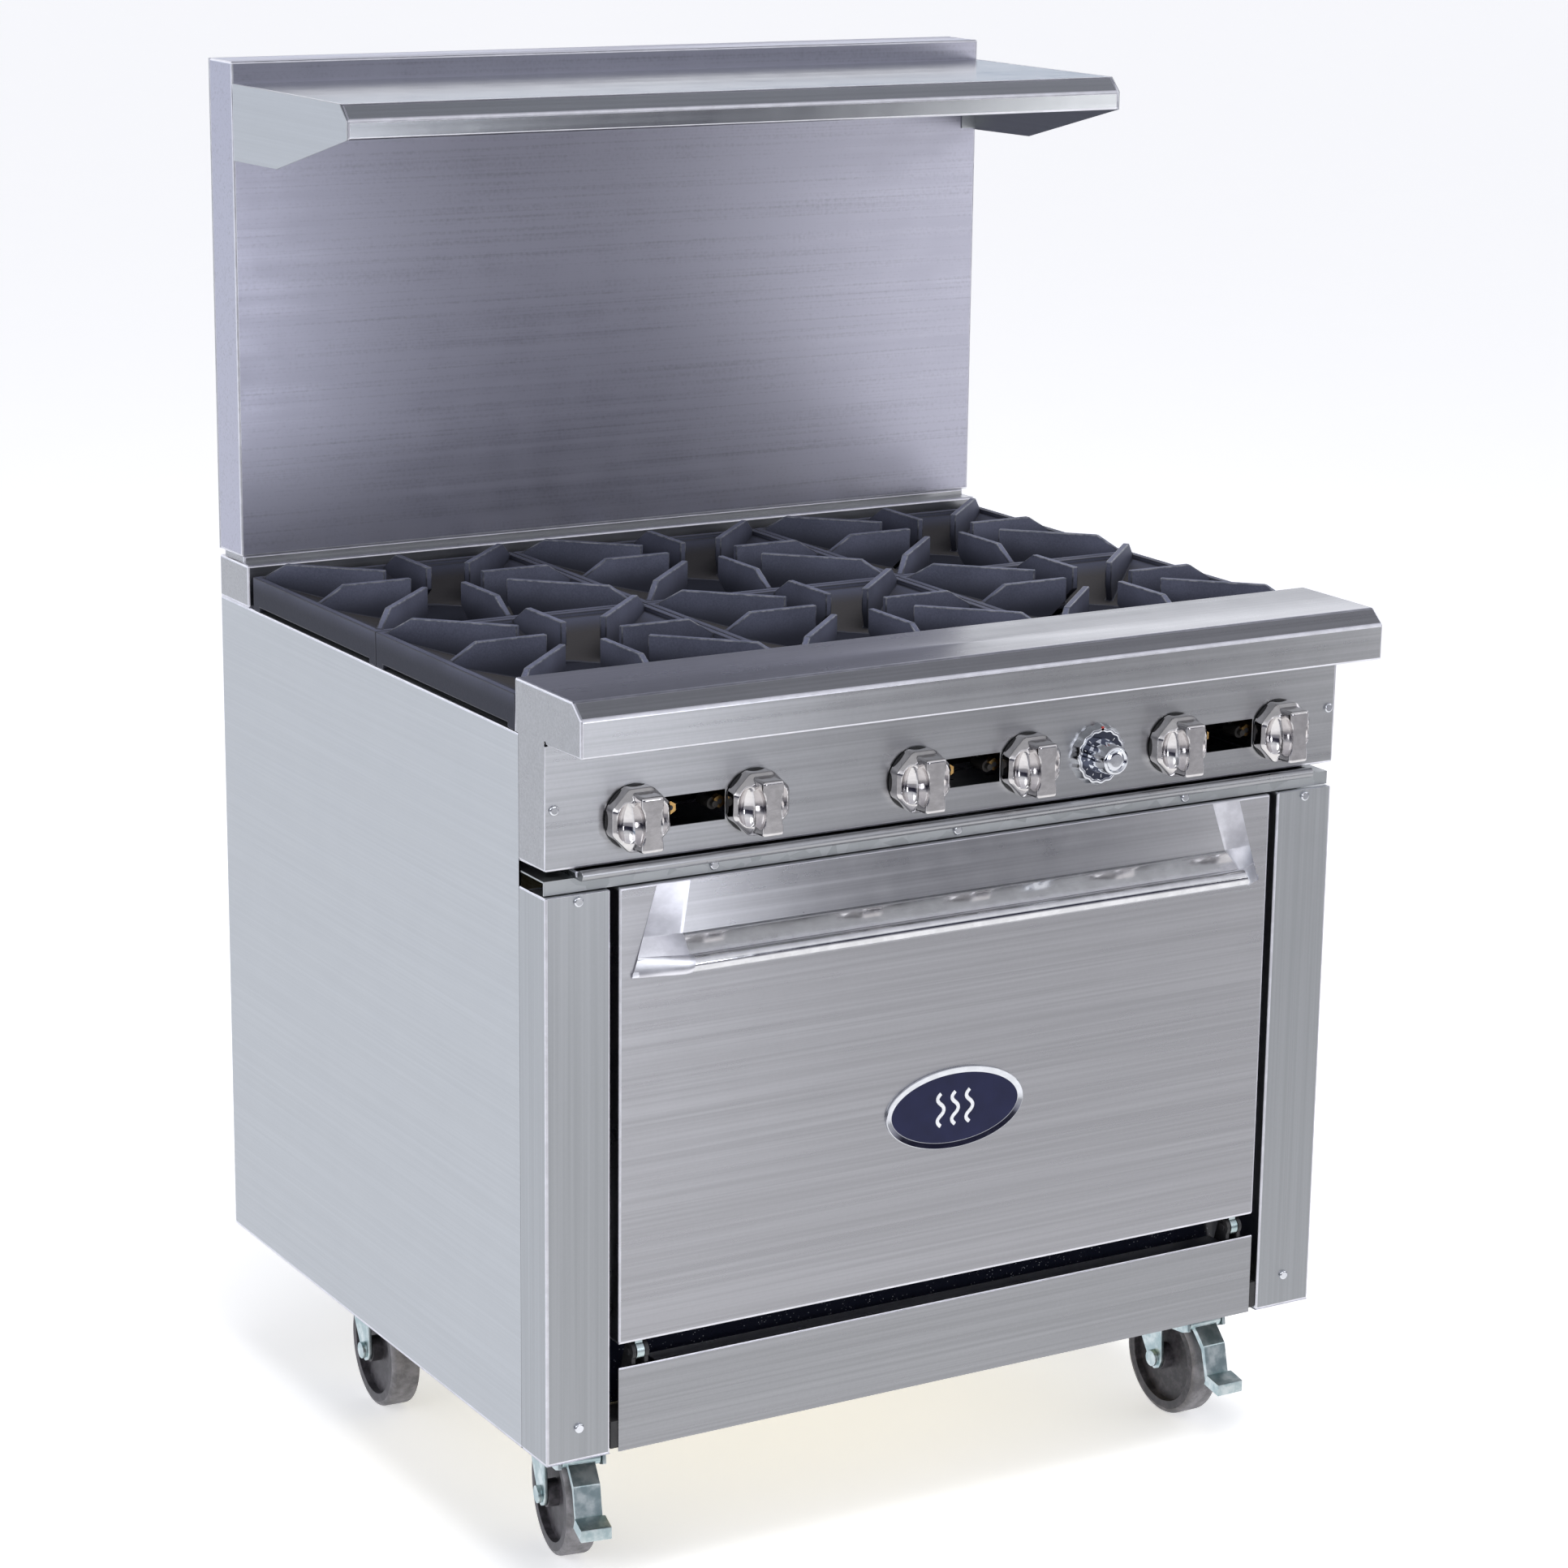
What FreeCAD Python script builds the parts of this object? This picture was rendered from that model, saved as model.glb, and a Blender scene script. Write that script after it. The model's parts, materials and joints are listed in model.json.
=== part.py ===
"""Six-burner commercial gas range with one oven, a back guard with a high shelf, and swivel casters.

Millimetres, +Z up, front of the range towards -Y. Everything is drawn in the body's own datum
(x = 0 on the centre plane, y = 0 on the front face of the corner posts, z = 0 under the body) and
moved on export, so that the origin is under the middle of the range, on the floor.
"""
import FreeCAD, Part
import math
import os

V = FreeCAD.Vector

# ---- overall sizes ------------------------------------------------------------------------------
WIDTH = 914.0
BODY_DEPTH = 764.0            # front of the posts to the back edge of the side panels
SIDE_HEIGHT = 715.0           # top of the side panels
CASTER_HEIGHT = 152.0         # floor to the underside of the body
LEDGE_OVERHANG = 72.0         # landing ledge in front of the posts
GUARD_HEIGHT = 570.0          # back guard above the side panels

# ---- sheet metal --------------------------------------------------------------------------------
SHEET = 1.5
FRAME_TOP = 32.0              # top of the base frame
FLANGE = 20.0                 # turned-in edges of the panels
POST_FACE = 69.0              # front face of a corner post
POST_FLANGE = 54.0            # side face of a corner post
POST_RETURN = 38.0            # inner return of a corner post
DOOR_GAP_SIDE = 9.0           # door edge to post edge
KICK_HEIGHT = 87.0
DOOR_BOTTOM = 111.0
POST_TOP = SIDE_HEIGHT - 147.0
TRAY_SLOT = 25.0              # gap between the post tops and the control panel

# ---- control panel and landing ledge ------------------------------------------------------------
PANEL_BOTTOM = POST_TOP + TRAY_SLOT
LEDGE_UNDERSIDE = SIDE_HEIGHT + 1.0
LEDGE_TOP = SIDE_HEIGHT + 52.0
LEDGE_BACK = 61.0
LEDGE_CHAMFER_Y = 17.0
LEDGE_CHAMFER_Z = 14.5
KNOB_Z = PANEL_BOTTOM + 43.0
KNOB_SPACING = 129.0          # between the two knobs of a pair
PAIR_OFFSET = (5.7, 11.5, 14.3)   # middle of each pair of knobs from the middle of its grates
DIAL_OFFSET = 160.0           # oven dial right of the centre
SLOT_WIDTH = 66.0
SLOT_HEIGHT = 29.0
STEM_R = 6.0
STEM_FIT = 0.05               # radial running clearance of a stem, pin or axle
STEM_HOLE_CLEAR = 2.0
KNOB_SKIRT_R = 34.0
KNOB_SKIRT_DEPTH = 13.0
KNOB_REACH = 38.0             # panel to the front of the grip
KNOB_STANDOFF = 1.0
DIAL_R = 32.0
DIAL_REACH = 35.0
BEZEL_DEPTH = 9.0

# ---- grates -------------------------------------------------------------------------------------
COLUMNS = 3
ROWS = 2
GRATE_GAP = 0.8               # between neighbouring grates
GRATE_BACK_GAP = 11.0
GRATE_FOOT = 5.0
FOOT_PAD = 16.0                # side of the square foot under each corner of a grate
RIM_HEIGHT = 30.5
RIM_WALL = 8.0
BLADE_TOP = LEDGE_TOP
BLADE_THICK = 7.0
BLADE_SLOPE = 27.0            # length of the sloping outer end of a blade
BLADE_RISE = 24.0             # depth of a blade at its inner end
AXIAL_INNER_R = 41.0
DIAGONAL_INNER_R = 67.0
BOWL_HALF = 52.0              # half side of the bowl's flat middle
BOWL_HOLE_R = 60.0
BOWL_THICK = 5.0
BOWL_DROP = 24.0

# ---- gas system ---------------------------------------------------------------------------------
MANIFOLD_R = 13.35
MANIFOLD_Y = 78.0
INLET_INSET = 42.0            # gas inlet inside the right side of the body
VENTURI_R = 13.0
VENTURI_Z = KNOB_Z + 14.0
BURNER_R = 50.0
BURNER_SPLIT_Z = SIDE_HEIGHT - 11.0
BURNER_BASE_Z = BURNER_SPLIT_Z - 20.0
BURNER_TOP_Z = BURNER_SPLIT_Z + 23.0
PILOT_Z = BURNER_BASE_Z + 12.0
PILOT_TUBE_R = 2.4
PILOT_BODY_R = 6.0
PILOT_SCREW_R = 3.2
PILOT_CUP_R = 5.0

# ---- back guard and high shelf ------------------------------------------------------------------
RISER_DEPTH = 76.0
RISER_HEIGHT = 45.0
GUARD_DEPTH = 60.5
GUARD_STEP = 7.0              # dark gap between the riser and the back guard
SHELF_BELOW_TOP = 22.0
SHELF_DEPTH = 284.0
SHELF_LIP = 34.0
SHELF_CHAMFER = 15.0
BRACKET_ROOT = 79.0           # height of a bracket at the back guard
BRACKET_FLAT = 111.0          # its straight lower edge at the back

# ---- oven ---------------------------------------------------------------------------------------
OVEN_SIDE_GAP = 42.0          # oven wall inside the edge of the door
OVEN_BOTTOM = DOOR_BOTTOM + 7.0
OVEN_TOP = POST_TOP - 48.0
OVEN_BACK_GAP = 150.0         # oven back to the back of the body
OVEN_FRONT_Y = 42.0
DECK_Z = OVEN_BOTTOM + 48.0
DECK_THICK = 2.0
RACK_Z = DECK_Z + 166.0
RACK_ROD_R = 3.5
RACK_WIRE_R = 2.2
RACK_LEVELS = 4
LEDGE_STEP = 70.0
INSULATION = 25.0
BACK_PANEL_INSET = 25.0

# ---- door ---------------------------------------------------------------------------------------
DOOR_PAN = 28.0               # depth of the outer door pan
DOOR_LINER_REACH = 39.0
HINGE_Y = 8.0
HINGE_Z = DOOR_BOTTOM - 12.0
HINGE_INSET = 24.0            # hinge inside the edge of the door
HINGE_ARM = 8.0
HINGE_PIN_R = 4.0
EYE_R = 9.0
EAR_THICK = 4.0
EAR_GAP = 1.0
HANDLE_SHEET = 2.0
HANDLE_PAD = 9.4              # how far the crease stands out from the door
HANDLE_REACH = 44.0
HANDLE_CREASE_Z = POST_TOP - 49.0
HANDLE_BEAD_R = 9.0
HANDLE_BEAD_Z = POST_TOP - 72.0
HANDLE_TIP_Z = POST_TOP - 81.0
HANDLE_INSET_IN = 75.0        # inner and outer line of the handle's ends, inside the edge of the door
HANDLE_INSET_OUT = 40.0
HANDLE_SLANT_IN = 12.0 / 49.0
HANDLE_SLANT_OUT = 24.5 / 81.0
BADGE_Z = DOOR_BOTTOM + 180.0
BADGE_HALF_W = 81.0
BADGE_HALF_H = 42.0
BADGE_THICK = 3.0

# ---- crumb tray ---------------------------------------------------------------------------------
TRAY_SIDE_GAP = 33.0          # tray inside the side of the body
TRAY_FLOOR_Z = POST_TOP + 15.0
TRAY_WALL = 8.0
TRAY_LIP_R = 5.0
TRAY_LIP_OUT = 12.0
TRAY_BACK_GAP = 110.0

# ---- casters ------------------------------------------------------------------------------------
CASTER_INSET = 87.0
CASTER_FRONT_Y = 155.0
CASTER_BACK_FROM_END = 179.0
CASTER_YAW = {"front_left": -10.0, "front_right": 0.0, "back_left": -4.0, "back_right": 6.0}
PLATE_THICK = 4.0
PLATE_HALF_X = 47.0
PLATE_HALF_Y = 57.0
RACE_R = 29.0
RACE_DEPTH = 9.0
KINGPIN_R = 6.0
TRAIL = 35.0
WHEEL_R = 63.5
WHEEL_WIDTH = 32.0
AXLE_R = 5.0
FORK_SHEET = 4.0
FORK_SIDE_GAP = 5.0
PEDAL_SHEET = 5.0
PEDAL_PIVOT_OUT = 50.0        # pedal pivot in front of the axle
PEDAL_PIVOT_UP = 56.0         # and above it
PEDAL_PIN_R = 4.0
PEDAL_EYE_R = 8.0
PEDAL_TAB = 26.0

# ---- fasteners ----------------------------------------------------------------------------------
SCREW_R = 2.0
SCREW_HEAD_R = 5.0
SCREW_HEAD = 2.5
SCREW_LENGTH = 10.0
SCREW_CLEAR = 0.3
TRIM_Y = 6.0                  # the cross member over the door stands this far behind the posts

# ---- worked out ---------------------------------------------------------------------------------
HALF = WIDTH / 2
DEPTH = BODY_DEPTH + LEDGE_OVERHANG
ORIGIN_SHIFT = V(0, LEDGE_OVERHANG - DEPTH / 2, CASTER_HEIGHT)
POST_INNER_X = HALF - POST_FACE
DOOR_HALF = POST_INNER_X - DOOR_GAP_SIDE
OVEN_HALF_W = DOOR_HALF - OVEN_SIDE_GAP
HINGE_X = DOOR_HALF - HINGE_INSET
HANDLE_TOP_IN = DOOR_HALF - HANDLE_INSET_IN
HANDLE_TOP_OUT = DOOR_HALF - HANDLE_INSET_OUT
TRAY_HALF_W = HALF - TRAY_SIDE_GAP
CASTER_X = HALF - CASTER_INSET
INLET_X = HALF - INLET_INSET
VALVE_BACK = MANIFOLD_Y - MANIFOLD_R
MIXER_Y = MANIFOLD_Y + MANIFOLD_R + 10
GUARD_TOP = SIDE_HEIGHT + GUARD_HEIGHT
GUARD_FRONT_Y = BODY_DEPTH - GUARD_DEPTH
GUARD_BOTTOM = SIDE_HEIGHT + RISER_HEIGHT + GUARD_STEP
RISER_FRONT_Y = BODY_DEPTH - RISER_DEPTH
SHELF_TOP = GUARD_TOP - SHELF_BELOW_TOP
SHELF_FRONT_Y = GUARD_FRONT_Y - SHELF_DEPTH
GRATE_START = LEDGE_BACK + GRATE_GAP / 2
GRATE_PITCH_X = WIDTH / COLUMNS
GRATE_PITCH_Y = (RISER_FRONT_Y - GRATE_BACK_GAP - GRATE_START) / ROWS
GRATE_BOTTOM = SIDE_HEIGHT + GRATE_FOOT
RIM_TOP = GRATE_BOTTOM + RIM_HEIGHT
OVEN_BACK_Y = BODY_DEPTH - OVEN_BACK_GAP
BACK_PANEL_Y = BODY_DEPTH - BACK_PANEL_INSET - SHEET
WHEEL_Z = WHEEL_R - CASTER_HEIGHT
COLUMN_X = [(i - (COLUMNS - 1) / 2) * GRATE_PITCH_X for i in range(COLUMNS)]
PAIR_X = [cx + offset for cx, offset in zip(COLUMN_X, PAIR_OFFSET)]
DIAL_X = COLUMN_X[1] + DIAL_OFFSET
KNOB_X = [x + s * KNOB_SPACING / 2 for x in PAIR_X for s in (-1, 1)]
ROW_Y = [GRATE_START + (j + 0.5) * GRATE_PITCH_Y for j in range(ROWS)]


CORNERS = [(-1, -1), (1, -1), (1, 1), (-1, 1), (-1, -1)]
POST_SCREWS = [(s * (HALF - POST_FACE / 2), 0, z) for s in (-1, 1) for z in (34.0, POST_TOP - 7)]
PANEL_SCREWS = [(s * (HALF - 9), 0, PANEL_BOTTOM + 59) for s in (-1, 1)]
TRIM_SCREWS = [(x * WIDTH, TRIM_Y, POST_TOP + 8) for x in (-0.3, 0.0, 0.3)]


# ---- drawing helpers ----------------------------------------------------------------------------
def box(x0, x1, y0, y1, z0, z1):
    return Part.makeBox(x1 - x0, y1 - y0, z1 - z0, V(x0, y0, z0))


def rod(start, end, radius):
    start = V(*start)
    along = V(*end) - start
    return Part.makeCylinder(radius, along.Length, start, along)


def cone(start, end, r0, r1):
    start = V(*start)
    along = V(*end) - start
    return Part.makeCone(r0, r1, along.Length, start, along)


def face(points):
    return Part.Face(Part.makePolygon([V(*p) for p in points] + [V(*points[0])]))


def prism_x(yz, x0, x1):
    return face([(x0, y, z) for y, z in yz]).extrude(V(x1 - x0, 0, 0))


def prism_y(xz, y0, y1):
    return face([(x, y0, z) for x, z in xz]).extrude(V(0, y1 - y0, 0))


def prism_z(xy, z0, z1):
    return face([(x, y, z0) for x, y in xy]).extrude(V(0, 0, z1 - z0))


def fuse(shapes):
    return shapes[0].multiFuse(shapes[1:]).removeSplitter()


def mirrored(shape):
    return shape.mirror(V(0, 0, 0), V(1, 0, 0))


def both_sides(shape):
    return [shape, mirrored(shape)]


def moved(shape, x, y, z):
    copy = shape.copy()
    copy.translate(V(x, y, z))
    return copy


def turned(shape, about, angle, axis=V(0, 0, 1)):
    copy = shape.copy()
    copy.rotate(V(*about), axis, angle)
    return copy


def screw(x, y, z):
    """A button-head screw driven back through a front face at y."""
    head = rod((x, y - SCREW_HEAD, z), (x, y, z), SCREW_HEAD_R)
    head = head.makeFillet(1.6, [head.Edges[i] for i in front_edges(head, y - SCREW_HEAD)])
    return head.fuse(rod((x, y - 0.5, z), (x, y + SCREW_LENGTH, z), SCREW_R))


def front_edges(shape, y):
    boxes = [e.BoundBox for e in shape.Edges]
    return [i for i, b in enumerate(boxes) if abs(b.YMin - y) < 0.01 and b.YLength < 0.01]


def screw_hole(x, y, z):
    return rod((x, y - 1, z), (x, y + SCREW_LENGTH + 2, z), SCREW_R + SCREW_CLEAR)


# ---- body ---------------------------------------------------------------------------------------
def base_frame():
    """Welded ring of rectangular tube with a plate in each corner for the caster."""
    x = HALF - SHEET
    y0 = SHEET
    y1 = BACK_PANEL_Y
    wall = 38.0
    front = POST_FLANGE + 6
    ring = box(-x, x, y0, y1, PLATE_THICK, FRAME_TOP).cut(
        box(-x + wall, x - wall, front, y1 - wall, 0, FRAME_TOP + 1))
    ring = ring.cut(fuse(both_sides(box(POST_INNER_X - 1, x + 1, 0, POST_RETURN + SHEET, 0, FRAME_TOP + 1))))
    plates = []
    for cx, cy in caster_places().values():
        x_in = abs(cx) - PLATE_HALF_X - 6
        sign = 1 if cx > 0 else -1
        xs = sorted((sign * x_in, sign * x))
        ys = (POST_FLANGE, cy + PLATE_HALF_Y + 6) if cy < BODY_DEPTH / 2 else (cy - PLATE_HALF_Y - 6, y1)
        plates.append(box(xs[0], xs[1], ys[0], ys[1], 0, PLATE_THICK))
    return fuse([ring] + plates)


def side_panel():
    """Right-hand panel: flat sheet with its top and back edges turned in."""
    x = HALF
    y0 = POST_FLANGE
    sheet = box(x - SHEET, x, y0, BODY_DEPTH, 0, SIDE_HEIGHT)
    top = box(x - FLANGE, x, LEDGE_BACK, BODY_DEPTH, SIDE_HEIGHT - SHEET, SIDE_HEIGHT)
    back = box(x - FLANGE, x, BODY_DEPTH - SHEET, BODY_DEPTH, 0, SIDE_HEIGHT)
    return fuse([sheet, top, back])


def front_post():
    """Right-hand corner post: a U of sheet, open to the back."""
    front = box(POST_INNER_X, HALF, 0, SHEET, 0, POST_TOP)
    side = box(HALF - SHEET, HALF, 0, POST_FLANGE, 0, POST_TOP)
    inner = box(POST_INNER_X, POST_INNER_X + SHEET, 0, POST_RETURN, 0, POST_TOP)
    cap = box(POST_INNER_X, HALF, 0, POST_RETURN, POST_TOP - SHEET, POST_TOP)
    post = fuse([front, side, inner, cap])
    for x, y, z in POST_SCREWS:
        if x > 0:
            post = post.cut(screw_hole(x, y, z))
    return post


def kick_panel():
    """Toe panel under the door; its top edge is turned back between the hinges."""
    front = box(-DOOR_HALF, DOOR_HALF, 0, SHEET, 0, KICK_HEIGHT)
    flange_half = HINGE_X - HINGE_ARM / 2 - EAR_GAP - EAR_THICK - 8
    top = box(-flange_half, flange_half, 0, FLANGE, KICK_HEIGHT - SHEET, KICK_HEIGHT)
    return fuse([front, top])


def back_panel():
    y = BACK_PANEL_Y
    inner = HALF - SHEET
    sheet = box(-inner, inner, y, y + SHEET, 0, SIDE_HEIGHT - SHEET)
    hole = rod((INLET_X, y - 5, KNOB_Z), (INLET_X, y + 5, KNOB_Z), MANIFOLD_R + 4)
    louvre = box(-60, 60, y - 5, y + 5, -3, 3)
    for i in range(5):
        for x in (-250, 0, 250):
            sheet = sheet.cut(moved(louvre, x, 0, 120 + 25 * i))
    return sheet.cut(hole)


def control_panel():
    """Valve panel and landing ledge, folded from one sheet and closed at both ends."""
    ledge_back = LEDGE_BACK
    y_front = -LEDGE_OVERHANG
    t = SHEET
    outer = [(ledge_back, LEDGE_TOP), (y_front + LEDGE_CHAMFER_Y, LEDGE_TOP),
             (y_front, LEDGE_TOP - LEDGE_CHAMFER_Z), (y_front, LEDGE_UNDERSIDE), (0, LEDGE_UNDERSIDE),
             (0, PANEL_BOTTOM), (POST_FLANGE, PANEL_BOTTOM), (POST_FLANGE, SIDE_HEIGHT),
             (ledge_back, SIDE_HEIGHT)]
    inner = [(ledge_back + 9, LEDGE_TOP - t), (y_front + LEDGE_CHAMFER_Y + t / 2, LEDGE_TOP - t),
             (y_front + t, LEDGE_TOP - LEDGE_CHAMFER_Z - t / 2), (y_front + t, LEDGE_UNDERSIDE + t),
             (t, LEDGE_UNDERSIDE + t), (t, PANEL_BOTTOM + t), (18, PANEL_BOTTOM + t), (18, PANEL_BOTTOM - 9),
             (ledge_back + 9, PANEL_BOTTOM - 9)]
    panel = prism_x(outer, -HALF, HALF).cut(prism_x(inner, -HALF + t, HALF - t))
    hem = box(-HALF + t, HALF - t, ledge_back - t, ledge_back, LEDGE_TOP - 14, LEDGE_TOP - t)
    panel = panel.fuse(hem)
    holes = [rod((x, -1, KNOB_Z), (x, 5, KNOB_Z), STEM_R + STEM_HOLE_CLEAR) for x in KNOB_X]
    holes.append(rod((DIAL_X, -1, KNOB_Z), (DIAL_X, 5, KNOB_Z), STEM_R + STEM_HOLE_CLEAR))
    for x in PAIR_X:
        holes.append(box(x - SLOT_WIDTH / 2, x + SLOT_WIDTH / 2, -1, 5, KNOB_Z - SLOT_HEIGHT / 2,
                         KNOB_Z + SLOT_HEIGHT / 2))
    holes += [screw_hole(*p) for p in PANEL_SCREWS]
    holes.append(rod((-HALF - 1, 0, LEDGE_UNDERSIDE), (-HALF + 3, 0, LEDGE_UNDERSIDE), 2.5))
    holes.append(rod((HALF - 3, 0, LEDGE_UNDERSIDE), (HALF + 1, 0, LEDGE_UNDERSIDE), 2.5))
    return panel.cut(Part.makeCompound(holes)).removeSplitter()


def oven_top_frame():
    """Cross member over the door, with the two side rails that carry the crumb tray."""
    x = HALF - SHEET
    z0 = POST_TOP
    z1 = TRAY_FLOOR_Z - 0.4
    front = box(-x, x, TRIM_Y, TRIM_Y + SHEET, z0 + 1, z1)
    top = box(-x, x, TRIM_Y, POST_FLANGE, z1 - SHEET, z1)
    y1 = BACK_PANEL_Y
    rail = box(TRAY_HALF_W - 24, x, TRIM_Y, y1, z1 - SHEET, z1)
    guide = box(TRAY_HALF_W + 1, TRAY_HALF_W + 1 + SHEET, POST_FLANGE, y1, z1 - SHEET, z1 + TRAY_WALL)
    back = box(-x, x, y1 - 40, y1, z1 - SHEET, z1)
    frame = fuse([front, top, back] + both_sides(rail) + both_sides(guide))
    return frame.cut(Part.makeCompound([screw_hole(*p) for p in TRIM_SCREWS]))


def body_screws():
    return [screw(*p) for p in POST_SCREWS + PANEL_SCREWS + TRIM_SCREWS]


# ---- back guard and shelf -----------------------------------------------------------------------
def riser_base():
    y0 = RISER_FRONT_Y
    z1 = SIDE_HEIGHT + RISER_HEIGHT
    shell = box(-HALF, HALF, y0, BODY_DEPTH, SIDE_HEIGHT, z1)
    hollow = box(-HALF + SHEET, HALF - SHEET, y0 + SHEET, BODY_DEPTH - SHEET, SIDE_HEIGHT - 1, z1 - SHEET)
    flue = box(-HALF + 40, HALF - 40, GUARD_FRONT_Y + 12, BODY_DEPTH - 12, z1 - 5, z1 + 5)
    neck = box(-HALF + 4, HALF - 4, GUARD_FRONT_Y + 4, BODY_DEPTH - 4, z1, GUARD_BOTTOM)
    neck = neck.cut(box(-HALF + 4 + SHEET, HALF - 4 - SHEET, GUARD_FRONT_Y + 4 + SHEET,
                        BODY_DEPTH - 4 - SHEET, z1 - 1, GUARD_BOTTOM + 1))
    return fuse([shell.cut(hollow).cut(flue), neck])


def backguard_front():
    """Tall front sheet of the back guard with its side, top and bottom edges turned back."""
    y0 = GUARD_FRONT_Y
    back = BODY_DEPTH - SHEET
    front = box(-HALF, HALF, y0, y0 + SHEET, GUARD_BOTTOM, GUARD_TOP)
    sides = both_sides(box(HALF - SHEET, HALF, y0, back, GUARD_BOTTOM, GUARD_TOP))
    top = box(-HALF, HALF, y0, back, GUARD_TOP - SHEET, GUARD_TOP)
    bottom = box(-HALF, HALF, y0, y0 + 12, GUARD_BOTTOM, GUARD_BOTTOM + SHEET)
    return fuse([front, top, bottom] + sides)


def backguard_back():
    sheet = box(-HALF, HALF, BODY_DEPTH - SHEET, BODY_DEPTH, GUARD_BOTTOM, GUARD_TOP)
    vent = box(-70, 70, BODY_DEPTH - 5, BODY_DEPTH + 5, -4, 4)
    cuts = [moved(vent, x, 0, GUARD_TOP - 40 - 22 * i) for x in (-300, -100, 100, 300) for i in range(4)]
    return sheet.cut(Part.makeCompound(cuts))


def shelf_profile(t):
    """Section of the high shelf: flat top, chamfered front edge and a plain lip."""
    y1 = GUARD_FRONT_Y
    y0 = SHELF_FRONT_Y
    z = SHELF_TOP
    c = SHELF_CHAMFER
    return [(y1, z), (y0 + c, z), (y0, z - c), (y0, z - SHELF_LIP), (y0 + 12, z - SHELF_LIP),
            (y0 + 12, z - SHELF_LIP + t), (y0 + t, z - SHELF_LIP + t), (y0 + t, z - c - t * 0.4),
            (y0 + c + t * 0.4, z - t), (y1 - t, z - t), (y1 - t, z - FLANGE), (y1, z - FLANGE)]


def high_shelf():
    return prism_x(shelf_profile(SHEET), -HALF + SHEET, HALF - SHEET)


def shelf_brackets():
    """Two gusset plates that close the ends of the shelf and hang it on the back guard."""
    y1 = GUARD_FRONT_Y
    y0 = SHELF_FRONT_Y
    z = SHELF_TOP
    z_low = z - BRACKET_ROOT
    outline = [(y1, z), (y0 + SHELF_CHAMFER, z), (y0, z - SHELF_CHAMFER), (y0, z - SHELF_LIP),
               (y1 - BRACKET_FLAT, z_low + 1.5), (y1, z_low)]
    plate = prism_x(outline, HALF - SHEET, HALF)
    flange = box(HALF - FLANGE, HALF, y1 - SHEET, y1, z_low + 2, z - FLANGE - 1)
    return both_sides(plate.fuse(flange).removeSplitter())


# ---- cook top -----------------------------------------------------------------------------------
def grate_frame():
    """Flat bars welded into a grid; the corners of the grates stand on it."""
    z0 = SIDE_HEIGHT - 6
    z1 = SIDE_HEIGHT
    x = HALF - FLANGE
    y0 = LEDGE_BACK
    y1 = RISER_FRONT_Y
    bar = 20.0
    bars = [box(-x, x, y0, y0 + bar, z0, z1), box(-x, x, y1 - bar - GRATE_BACK_GAP, y1, z0, z1)]
    for j in range(1, ROWS):
        y = GRATE_START + j * GRATE_PITCH_Y
        bars.append(box(-x, x, y - bar, y + bar, z0, z1))
    for i in range(1, COLUMNS):
        cx = -HALF + i * GRATE_PITCH_X
        bars.append(box(cx - bar, cx + bar, y0, y1, z0, z1))
    bars += both_sides(box(x - bar, x, y0, y1, z0, z1))
    return fuse(bars)


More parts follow.
